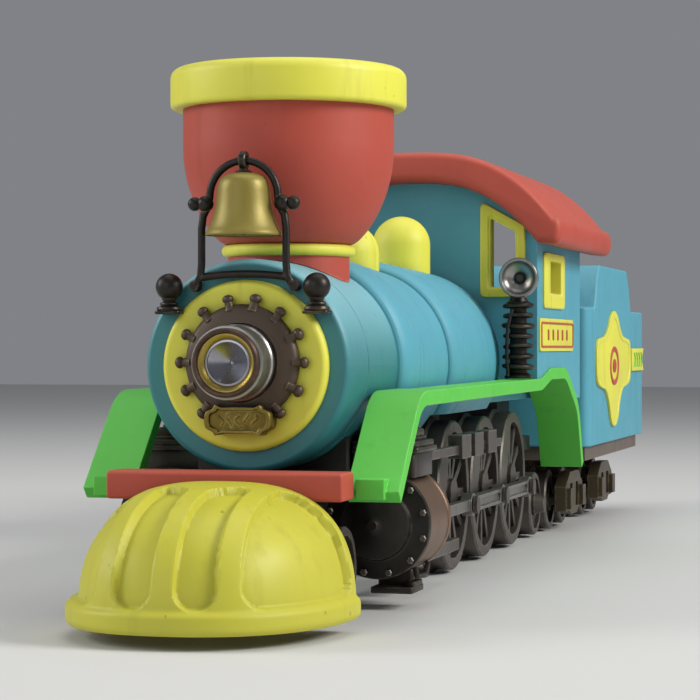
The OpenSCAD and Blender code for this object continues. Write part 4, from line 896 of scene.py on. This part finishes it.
baseR = headlight["baseR"]
coneProfile = [(0, doorBack + 0.4), (baseR, doorBack + 0.2), (baseR, baseFace + 2.9),
               (baseR - 0.5, baseFace + 2.0),
               (baseR - 1.5, baseFace + 1.5), (headlight["barrelR"] + 2.6, baseFace + 0.5),
               (headlight["barrelR"] + 0.9, baseFace + 0.2), (headlight["barrelR"] + 0.5, baseFace + 1.0),
               (0, baseFace + 1.0)]
addPiece("headlightCone", lathe("headlightCone", coneProfile, lampAxis, "y", 128), "coneBronze", "locomotive",
         ("headlight_base",))
studPlaces = []
for k in range(headlight["studs"]):
    a = 2 * math.pi * (k + 0.5) / headlight["studs"]
    studPlaces.append(((math.sin(a) * baseR, baseFace + 3.0, lampZ + math.cos(a) * baseR), (0, a, 0)))
spread("headlightStuds", studMesh(), studPlaces, "coneBronze", "locomotive", sizeSpread=0.06, seed=4)
barrelR = headlight["barrelR"]
barrelLine = [(barrelR - 2.4, baseFace + 1.2), (barrelR - 2.4, lampFront + 2.0),
              (barrelR - 0.6, lampFront + 2.0),
              (barrelR - 0.1, lampFront + 2.2), (barrelR, lampFront + 2.6), (barrelR, baseFace - 3.4),
              (barrelR + 0.45, baseFace - 2.9), (barrelR + 0.45, baseFace - 1.4), (barrelR, baseFace - 0.9),
              (barrelR, baseFace + 1.2)]
addPiece("headlightBarrel", lathe("headlightBarrel", barrelLine, lampAxis, "y", 128, closed=True),
         "silverMetal", "locomotive", ("headlight_barrel",))
rimLine = [(headlight["rimIn"], lampFront + 2.4), (headlight["rimIn"], lampFront + 0.7),
           (headlight["rimIn"] + 0.4, lampFront + 0.1), (headlight["rimOut"] - 0.5, lampFront),
           (headlight["rimOut"], lampFront + 0.5), (headlight["rimOut"], lampFront + 3.0),
           (barrelR - 0.2, lampFront + 3.0)]
addPiece("headlightRim", lathe("headlightRim", rimLine, lampAxis, "y", 128, closed=True), "brownRim",
         "locomotive", ("headlight_rim",))
ringY = lampFront + headlight["recess"]
ringLine = [(headlight["rimIn"], lampFront + 1.2), (headlight["rimIn"] - 0.5, lampFront + 1.3),
            (headlight["ringIn"] + 0.3, ringY - 0.2), (headlight["ringIn"], ringY + 0.4),
            (headlight["ringIn"], ringY + 1.6), (headlight["rimIn"], ringY + 1.6)]
addPiece("headlightGoldRing", lathe("headlightGoldRing", ringLine, lampAxis, "y", 128, closed=True),
         "goldRing", "locomotive")
coneIn = [(headlight["ringIn"] + 0.1, ringY), (headlight["ringIn"] - 0.5, ringY - 0.1)]
coneIn += [(headlight["ringIn"] * (1 - t) ** 0.9, ringY + headlight["coneDeep"] * t ** 0.85)
           for t in (k / 12 for k in range(1, 12))]
coneIn += [(0.9, ringY + headlight["coneDeep"]), (0, ringY + headlight["coneDeep"] - 0.8)]
coneBack = [(0, ringY + 9), (headlight["ringIn"] + 0.1, ringY + 9)]
addPiece("headlightReflector",
         lathe("headlightReflector", coneIn + coneBack, lampAxis, "y", 96, closed=False),
         "mirrorMetal", "locomotive", ("headlight_reflector",))

# the number plate: a scrolled brass plate with a plain ornament in relief
plate = {"halfWide": 10.3, "halfHigh": 4.3, "relief": 0.9}


def plateMeshes():
    z = lampZ - baseR + 0.4
    front = low("number_plate")[1]
    w, h = plate["halfWide"], plate["halfHigh"]
    half = [(w, 0), (w - 0.5, h * 0.55), (w - 2.6, h * 0.8), (w - 3.4, h * 1.06), (w - 5.2, h * 0.9),
            (2.0, h * 0.92)]
    quarter = half + [(-x, y) for x, y in reversed(half[1:])]
    outline = [(x, z + y)
               for x, y in smoothLoop(quarter + [(-w, 0)] + [(x, -y) for x, y in reversed(quarter[1:])], 3)]
    back = slab("plateBack", outline, "y", front + plate["relief"], doorBack + 0.2, 0.25)
    inner = [(x * 0.86, z + (y - z) * 0.74) for x, y in outline]
    border = ringSlab("plateBorder", outline, inner, "y", front + plate["relief"] + 0.4, front + 0.1, 0.25)
    parts = [back, border]
    for k, x in enumerate((-5.2, -2.6, 0.0, 2.6, 5.2)):
        tall = 2.1 if k % 2 else 1.5
        path = [(x + 0.8 * math.sin(t * 5.0 + k), front + plate["relief"] + 0.1, z + tall * (2 * t - 1))
                for t in (n / 10 for n in range(11))]
        parts.append(tube("scroll", path, 0.42, 8))
    return joined("numberPlate", parts)


addPiece("numberPlateBrass", plateMeshes(), "brassPlate", "locomotive", ("number_plate",))
print("headlight made")

# the marker lamps: a ball on a stepped foot
markerLamp = {"ballR": 4.1, "clear": 0.2, "footR": 3.4, "footDrop": 7.4}
lampFoot = [(3.6, -7.2), (3.9, -6.7), (3.7, -6.1), (2.6, -5.7), (2.9, -5.2), (2.7, -4.8), (1.9, -4.4),
            (2.2, -3.9)]
for side, name in ((1, "left"), (-1, "right")):
    node = "marker_lamp_" + name
    lo, hi = low(node), high(node)
    ballR = markerLamp["ballR"]
    spotX, spotZ = (lo[0] + hi[0]) / 2, hi[2] - ballR
    spotY = at(1) - ballR - markerLamp["clear"]
    footZ = spotZ - markerLamp["footDrop"]
    profile = [(0, footZ), (markerLamp["footR"], footZ)] + [(r, spotZ + z) for r, z in lampFoot]
    profile += [(ballR * math.cos(a), spotZ + ballR * math.sin(a))
                for a in (math.radians(-55 + 145 * k / 18) for k in range(18))]
    profile.append((0, spotZ + ballR))
    lamp = lathe(node, profile, (spotX, spotY), "z", 48)
    shelf = slab("shelf", roundedBox(spotX - 4, spotY - 3, spotX + 4, at(1), 1.4), "z", spotZ - 8.2,
                 spotZ - 7.2, 0.3)
    addPiece("markerLamp" + name.title(), joined(node, [lamp, shelf]), "bronzeMetal", "locomotive", (node,))
print("marker lamps made")

# the bell, its hanger, its clapper and the bracket it swings in
bell = {"wall": 1.3, "axisZ": 137.4}
bellAt = (0, at(-2))


def bellMesh():
    outer = [(11.4, 115.0), (11.5, 115.5), (11.1, 116.3), (10.5, 117.2), (9.6, 119.3), (8.9, 121.6),
             (8.4, 124),
             (8.05, 127), (7.75, 129.8), (7.3, 131.3), (6.3, 132.6), (4.4, 133.4), (2.2, 133.8), (0, 133.9)]
    fine = []
    for k in range(len(outer) - 1):
        for t in (0, 0.5):
            fine.append(tuple(a + (b - a) * t for a, b in zip(outer[k], outer[k + 1])))
    fine.append(outer[-1])
    inner = [(max(r - bell["wall"], 0.0), z - (bell["wall"] if z > 130 else 0)) for r, z in reversed(outer)]
    inner[0] = (0, outer[-1][1] - bell["wall"])
    return lathe("bellShell", fine + inner, bellAt, "z", 96, angle=50)


bellShell = bellMesh()
addPiece("bellShell", bellShell, "bellMetal", "bell", ("bell",))
bellY = bellAt[1]
hanger = [lathe("hangerEye", [(1.5, -1.1), (2.5, -1.1), (2.8, -0.8), (2.8, 0.8), (2.5, 1.1), (1.5, 1.1)],
                (bellY, bell["axisZ"]), "x", 28, closed=True),
          lathe("hangerNut", [(0, 133.4), (2.4, 133.4), (2.5, 134.2), (1.5, 134.6), (1.2, 135.2), (0, 135.2)],
                bellAt, "z", 24)]
addPiece("bellHanger", joined("bellHanger", hanger), "bronzeMetal", "bell")
bracket = {"rod": 1.15, "archR": 10.6, "upright": 13.2, "bend": 119.0, "base": 102.6, "archTop": 137.4}


def bracketMesh():
    b = bracket
    centre = b["archTop"] - b["archR"]
    arch = [(b["archR"] * math.cos(a), bellY, centre + b["archR"] * math.sin(a))
            for a in (math.pi * k / 32 for k in range(33))]
    right = [(b["archR"] + 0.6, bellY, centre - 3), (b["upright"] - 0.5, bellY, b["bend"] + 2),
             (b["upright"], bellY, b["bend"] - 2),
             (b["upright"], bellY, b["base"] + 4), (b["upright"] + 0.3, bellY, b["base"] + 0.5),
             (b["upright"] + 1.6, bellY + 0.4, b["base"] - 2.2),
             (b["upright"] + 2.6, bellY + 1.6, b["base"] - 3.2)]
    path = [(-p[0], p[1], p[2]) for p in reversed(right)] + arch[::-1] + right
    parts = [tube("hoop", path, b["rod"], 16)]
    bar = [(x, bellY + 0.2, b["base"] + 0.9 * (1 - (x / b["upright"]) ** 2))
           for x in (b["upright"] * (k / 8 - 1) for k in range(17))]
    parts.append(tube("baseBar", bar, b["rod"] * 1.05, 14))
    for side in (1, -1):
        x = side * (b["archR"] + 1.0)
        for reach, r in ((1.6, 2.5), (5.0, 2.1)):
            ball = lathe("knob", ballProfile(r, centre - 2.2, 1.0, 12),
                         (x + side * reach - side * 1.2, bellY), "z", 24)
            parts.append(ball)
        parts.append(tube("knobStem", [(x, bellY, centre - 2.2), (x + side * 4.5, bellY, centre - 2.2)], 1.2,
                          12))
        parts.append(lathe("footPad",
                           [(0, bellY - 0.6), (1.5, bellY - 0.6), (1.7, bellY), (1.7, at(1)), (0, at(1))],
                           (side * (b["upright"] + 2.4), b["base"] - 2.6), "y", 24))
    return joined("bellBracket", parts)


addPiece("bellHoop", bracketMesh(), "bronzeMetal", "locomotive", ("bell_bracket",))
print("bell made")

# window frames with deep liners, and plain nameplates
window = {"inner": 28.6, "outer": 40.4, "sill": 104.0, "innerTop": 133.6, "outerTop": 127.0, "frame": 3.0,
          "liner": 7.0, "corner": 1.0}
wallFront = at(230)


def frontOutline(grow, side):
    slope = (window["outerTop"] - window["innerTop"]) / (window["outer"] - window["inner"])
    lift = window["innerTop"] + grow * math.hypot(1, slope) - slope * window["inner"]
    x0, x1 = window["inner"] - grow, window["outer"] + grow
    corners = [(x0, window["sill"] - grow), (x0, lift + slope * x0), (x1, lift + slope * x1),
               (x1, window["sill"] - grow)]
    ring = [corners[-1]] + corners + [corners[0]]
    rounded = roundedLine(ring, window["corner"] + grow / 3, 4)[1:-1]
    return [(side * x, z) for x, z in rounded]


def frontFrames():
    parts = []
    front = low("front_windows")[1]
    for side in (1, -1):
        parts.append(ringSlab("face", frontOutline(window["frame"], side), frontOutline(-0.4, side), "y",
                              wallFront + 0.2, front, 0.5))
        parts.append(ringSlab("liner", frontOutline(-0.02, side), frontOutline(-1.0, side), "y",
                              wallFront - 0.6, wallFront + window["liner"], 0.2))
    return joined("frontWindows", parts)


addPiece("frontWindowFrames", frontFrames(), "yellowPlastic", "locomotive", ("front_windows",))
sideWindow = {"back": 12.0, "fore": 6.0, "foot": 5.0, "head": 2.0, "liner": 7.0}
for side, name in ((1, "left"), (-1, "right")):
    node = "side_window_" + name
    lo, hi = low(node), high(node)
    wall, proud = (lo[0], hi[0]) if side > 0 else (hi[0], lo[0])
    outer = roundedBox(lo[1], lo[2], hi[1], hi[2], 2.5)
    hole = (lo[1] + sideWindow["back"], lo[2] + sideWindow["foot"], hi[1] - sideWindow["fore"],
            hi[2] - sideWindow["head"])
    inner = roundedBox(hole[0] + 0.4, hole[1] + 0.4, hole[2] - 0.4, hole[3] - 0.4, 1.5)
    liner = roundedBox(hole[0] + 1, hole[1] + 1, hole[2] - 1, hole[3] - 1, 1.2)
    seat = roundedBox(hole[0] + 0.02, hole[1] + 0.02, hole[2] - 0.02, hole[3] - 0.02, 1.5)
    parts = [ringSlab("face", outer, inner, "x", wall - side * 0.1, proud, 0.5),
             ringSlab("liner", seat, liner, "x", wall + side * 0.6, wall - side * sideWindow["liner"], 0.2)]
    addPiece("sideWindow" + name.title(), joined(node, parts), "yellowPlastic", "locomotive", (node,))


def nameplateMeshes():
    lo, hi = low("nameplates"), high("nameplates")
    plates, borders = [], []
    for side in (1, -1):
        wall, proud = side * (hi[0] - 1.2), side * hi[0]
        outline = roundedBox(lo[1], lo[2], hi[1], hi[2], 2.0)
        plates.append(slab("plateBack", outline, "x", wall - side * 0.1, proud - side * 0.45, 0.2))
        outer = roundedBox(lo[1] + 1.6, lo[2] + 1.4, hi[1] - 1.6, hi[2] - 1.4, 1.4)
        inner = roundedBox(lo[1] + 2.5, lo[2] + 2.2, hi[1] - 2.5, hi[2] - 2.2, 0.9)
        borders.append(ringSlab("plateEdge", outer, inner, "x", proud - side * 0.6, proud, 0.2))
        middle = (lo[2] + hi[2]) / 2
        for k in range(5):
            y = lo[1] + (hi[1] - lo[1]) * (0.22 + 0.14 * k)
            borders.append(slab("plateMark", roundedBox(y - 1.0, middle - 2.2, y + 1.0, middle + 2.2, 0.9),
                                "x", proud - side * 0.6, proud - side * 0.05, 0.15))
    return joined("nameplates", plates), joined("nameplateBorders", borders)


plateBacks, plateEdges = nameplateMeshes()
addPiece("cabNameplates", plateBacks, "yellowPlastic", "locomotive", ("nameplates",))
addPiece("nameplateBorders", plateEdges, "redPlastic", "locomotive")
print("windows made")

# the air pump beside the cab, with its finned cylinder and its horn
pump = {"fins": 7, "finGap": 3.9, "finR": 6.2, "hornR": 7.7}
pumpAt = ((low("air_pump")[0] + high("air_pump")[0]) / 2, (low("air_pump")[1] + high("air_pump")[1]) / 2)
pumpFoot, pumpTop = low("air_pump")[2], high("air_pump")[2]


def finMesh():
    r = pump["finR"]
    line = [(0, -1.2), (r - 1.6, -1.0), (r - 0.7, -0.9), (r - 0.1, -0.5), (r, 0.1), (r - 0.3, 0.6),
            (r - 1.2, 0.9), (r - 2.4, 1.1), (0, 1.3)]
    return lathe("fin", line, (0, 0), "z", 40)


finPlaces = [((pumpAt[0], pumpAt[1], pumpFoot + 4.5 + k * pump["finGap"]),
              (0.05 * math.sin(2.1 * k), 0.05 * math.cos(1.7 * k), 0))
             for k in range(pump["fins"])]
spread("pumpFins", finMesh(), finPlaces, "bronzeMetal", "locomotive", sizeSpread=0.05, seed=7)
column = [(0, pumpFoot), (5.2, pumpFoot), (5.4, pumpFoot + 0.7), (4.6, pumpFoot + 1.6), (3.4, pumpFoot + 2.2),
          (3.2, pumpTop - 4.6), (4.4, pumpTop - 4.2), (4.6, pumpTop - 2.2), (3.6, pumpTop - 1.6),
          (3.0, pumpTop), (0, pumpTop)]
pipe = [(pumpAt[0] - 3, pumpAt[1] - 5.6, pumpFoot + 1), (pumpAt[0] - 3.4, pumpAt[1] - 6.2, pumpFoot + 10),
        (pumpAt[0] - 3.0, pumpAt[1] - 6.4, pumpTop - 12), (pumpAt[0] - 1.5, pumpAt[1] - 4.5, pumpTop - 5)]
addPiece("pumpColumn",
         joined("pumpColumn", [lathe("column", column, pumpAt, "z", 40), tube("pumpPipe", pipe, 0.7, 8)]),
         "bronzeMetal", "locomotive", ("air_pump",))
hornLo, hornHi = low("pump_horn"), high("pump_horn")
hornR = pump["hornR"]
hornAxis = (hornHi[0] - hornR, hornHi[2] - hornR)
mouth = hornLo[1]
hornLine = [(0, mouth + 5.2), (1.0, mouth + 5.0), (1.7, mouth + 4.2), (2.6, mouth + 3.2), (4.2, mouth + 2.4),
            (5.6, mouth + 1.6), (6.1, mouth + 0.6), (6.5, mouth + 0.05), (7.2, mouth), (7.6, mouth + 0.5),
            (7.7, mouth + 1.2),
            (7.4, mouth + 1.8), (7.0, mouth + 2.1), (7.3, mouth + 2.5), (7.3, mouth + 3.2),
            (6.6, mouth + 4.2),
            (5.2, mouth + 7), (4.2, mouth + 10.5), (3.4, mouth + 13.5), (2.8, mouth + 14.6),
            (3.2, mouth + 15.1), (3.0, mouth + 16.2), (1.8, mouth + 17), (0, mouth + 17)]
neck = [(0, pumpTop - 0.4), (3.1, pumpTop - 0.4), (3.4, pumpTop + 0.4), (2.6, pumpTop + 1.2),
        (2.3, hornAxis[1] - 3), (0, hornAxis[1] - 3)]
horn = joined("horn",
              [lathe("hornBell", hornLine, hornAxis, "y", 64), lathe("hornNeck", neck, pumpAt, "z", 28)])
addPiece("hornSilver", horn, "silverMetal", "locomotive", ("pump_horn",))
lens = lathe("hornLens",
             [(0, mouth + 2.6), (1.2, mouth + 2.8), (2.0, mouth + 3.6), (2.2, mouth + 4.6), (0, mouth + 4.8)],
             hornAxis, "y", 32)
addPiece("hornHeart", lens, "framePlastic", "locomotive")
print("pump made")

# the cylinders: a copper barrel under a dark steam chest, with a bolted front cover
cylinder = {"r": 16.5, "y0": 30.0, "long": 31.0, "x": 33.6, "z": 27.0, "bolts": 12, "boltRing": 15.2}


def boltMesh(r, tall, sides=6):
    return lathe("bolt", [(0, 0), (r, 0), (r, tall * 0.7), (r * 0.75, tall), (0, tall)], (0, 0), "z", sides,
                 angle=20)


for side, name in ((1, "left"), (-1, "right")):
    cx, cz, r = side * cylinder["x"], cylinder["z"], cylinder["r"]
    y0, y1 = at(cylinder["y0"]), at(cylinder["y0"] + cylinder["long"])
    barrel = [(6, y0), (r - 0.6, y0), (r, y0 + 0.6), (r, y0 + 2.6), (r - 0.35, y0 + 2.9),
              (r - 0.35, y1 - 3.4), (r, y1 - 3.1),
              (r, y1 - 0.6), (r - 0.6, y1), (14, y1), (14, y0 + 3), (6, y0 + 3)]
    addPiece("cylinderBarrel" + name.title(), lathe("barrel", barrel, (cx, cz), "y", 96, closed=True),
             "copperMetal", "locomotive", ("cylinder_" + name,))
    parts = []
    for x0, x1, ya, yb, z0, z1 in ((24.3, 44.6, 32, 58, 41.2, 49), (24.6, 46, 31, 59, 49, 50.6),
                                   (24.6, 45, 31.6, 58.4, 50.6, 52.5),
                                   (26.4, 43, 33, 57, 52.5, 53.6), (27.2, 42.4, 34, 56, 53.6, 55.9)):
        xa, xb = sorted((side * x0, side * x1))
        parts.append(slab("chest", roundedBox(xa, at(ya), xb, at(yb), 1.0, 3), "z", z0, z1, 0.45))
    for x0, x1, ya, yb, z0, z1 in ((31, 42, 40, 44, 7, 12.4), (30, 43.5, 34, 50, 5.2, 7.2),
                                   (41, 43.6, 36, 48, 7.2, 8.8)):
        xa, xb = sorted((side * x0, side * x1))
        parts.append(slab("step", roundedBox(xa, at(ya), xb, at(yb), 0.8, 3), "z", z0, z1, 0.3))
    drain = [(side * 44, at(36), 13.5), (side * 44.5, at(36), 10.5), (side * 44.5, at(48), 10.0),
             (side * 43, at(58), 12.5)]
    parts.append(tube("drain", drain, 0.9, 8))
    addPiece("steamChest" + name.title(), joined("chest", parts), "chestMetal", "locomotive")
    cover = [(0, y0 - 8.4), (1.5, y0 - 8.4), (2.3, y0 - 7.7), (3.4, y0 - 7.3), (6.2, y0 - 6.9),
             (8.6, y0 - 5.7), (10.6, y0 - 4.6),
             (11.2, y0 - 3.2), (13.0, y0 - 2.6), (r + 0.2, y0 - 2.2), (r + 0.4, y0 - 1.6),
             (r + 0.4, y0 - 0.1), (0, y0 - 0.1)]
    addPiece("cylinderCover" + name.title(), lathe("cover", cover, (cx, cz), "y", 80), "bronzeMetal",
             "locomotive", ("cylinder_cover_" + name,))
    places = [((cx + cylinder["boltRing"] * math.sin(a), y0 - 2.3, cz + cylinder["boltRing"] * math.cos(a)),
               (math.pi / 2, 0, 0))
              for a in (2 * math.pi * (k + 0.5) / cylinder["bolts"] for k in range(cylinder["bolts"]))]
    spread("coverBolts" + name.title(), boltMesh(1.15, 1.1), places, "gearMetal", "locomotive", seed=3)
    lids = [((side * x, at(yy), 55.8), (0, 0, 0)) for x in (29, 34.8, 40.6) for yy in (36, 45, 54)]
    spread("chestBolts" + name.title(), boltMesh(1.0, 0.9), lids, "gearMetal", "locomotive", seed=5)
print("cylinders made")

# the tender's crest and pennant
crest = [(-54, 74.5), (-51, 66), (-40, 63.6), (-27, 62), (-17, 56), (-10, 48), (0, 45), (10, 48), (17, 56),
         (27, 62),
         (40, 63.6), (51, 66), (54, 74.5), (51, 84), (40, 85.8), (27, 87), (17, 91), (10, 96), (0, 98.4),
         (-10, 96), (-17, 91), (-27, 87), (-40, 85.8), (-51, 84)]
crestSpot = {"along": 71.0, "middleZ": 72.0, "rosetteZ": 73.0, "pennant": 152.0, "chevrons": 4, "pitch": 8.0,
             "rings": ((13.5, 9.0), (10.8, 6.6), (5.0, 3.2))}
tenderFront = low("tender_shell")[1]
for side, name in ((1, "left"), (-1, "right")):
    node = "tender_crest_" + name
    wall = low(node)[0] if side > 0 else high(node)[0]
    proud = high(node)[0] if side > 0 else low(node)[0]
    mid, midZ = tenderFront + crestSpot["along"], crestSpot["middleZ"]
    outline = [(mid + u, z) for u, z in smoothLoop(crest, 5)]
    inner = [(mid + (u - mid) * 0.93, midZ + (z - midZ) * 0.86) for u, z in outline]
    parts = [slab("crestBack", outline, "x", wall - side * 0.1, proud - side * 0.4, 0.25),
             ringSlab("crestEdge", outline, inner, "x", proud - side * 0.5, proud, 0.25)]
    tip = tenderFront + crestSpot["pennant"]
    pennant = [(tip - 22, 70), (tip + 20, 70), (tip + 14, 75.5), (tip + 20, 81), (tip - 22, 81)]
    parts.append(slab("pennant", pennant, "x", wall - side * 0.1, proud, 0.3))
    addPiece("crest" + name.title(), joined(node, parts), "yellowPlastic", "tender", (node,))
    ring = [[(mid + wide * math.cos(a), crestSpot["rosetteZ"] + tall * math.sin(a))
             for a in (2 * math.pi * k / 40 for k in range(40))] for wide, tall in crestSpot["rings"]]
    rosette = [ringSlab("rosetteRing", ring[0], ring[1], "x", proud - side * 0.5, proud + side * 0.05, 0.3),
               slab("rosetteBoss", ring[2], "x", proud - side * 0.5, proud + side * 0.05, 0.3)]
    addPiece("crestRosette" + name.title(), joined("rosette", rosette), "redPlastic", "tender")
    marks = []
    for k in range(crestSpot["chevrons"]):
        u = tip - 16 + k * crestSpot["pitch"]
        marks.append(slab("chevron", [(u, 72), (u + 2.6, 72), (u + 5.4, 75.5), (u + 2.6, 79), (u, 79),
                                      (u + 2.8, 75.5)], "x",
                          proud - side * 0.1, proud + side * 0.35, 0.1))
    addPiece("pennantMarks" + name.title(), joined("marks", marks), "greenPlastic", "tender")
print("crest made")
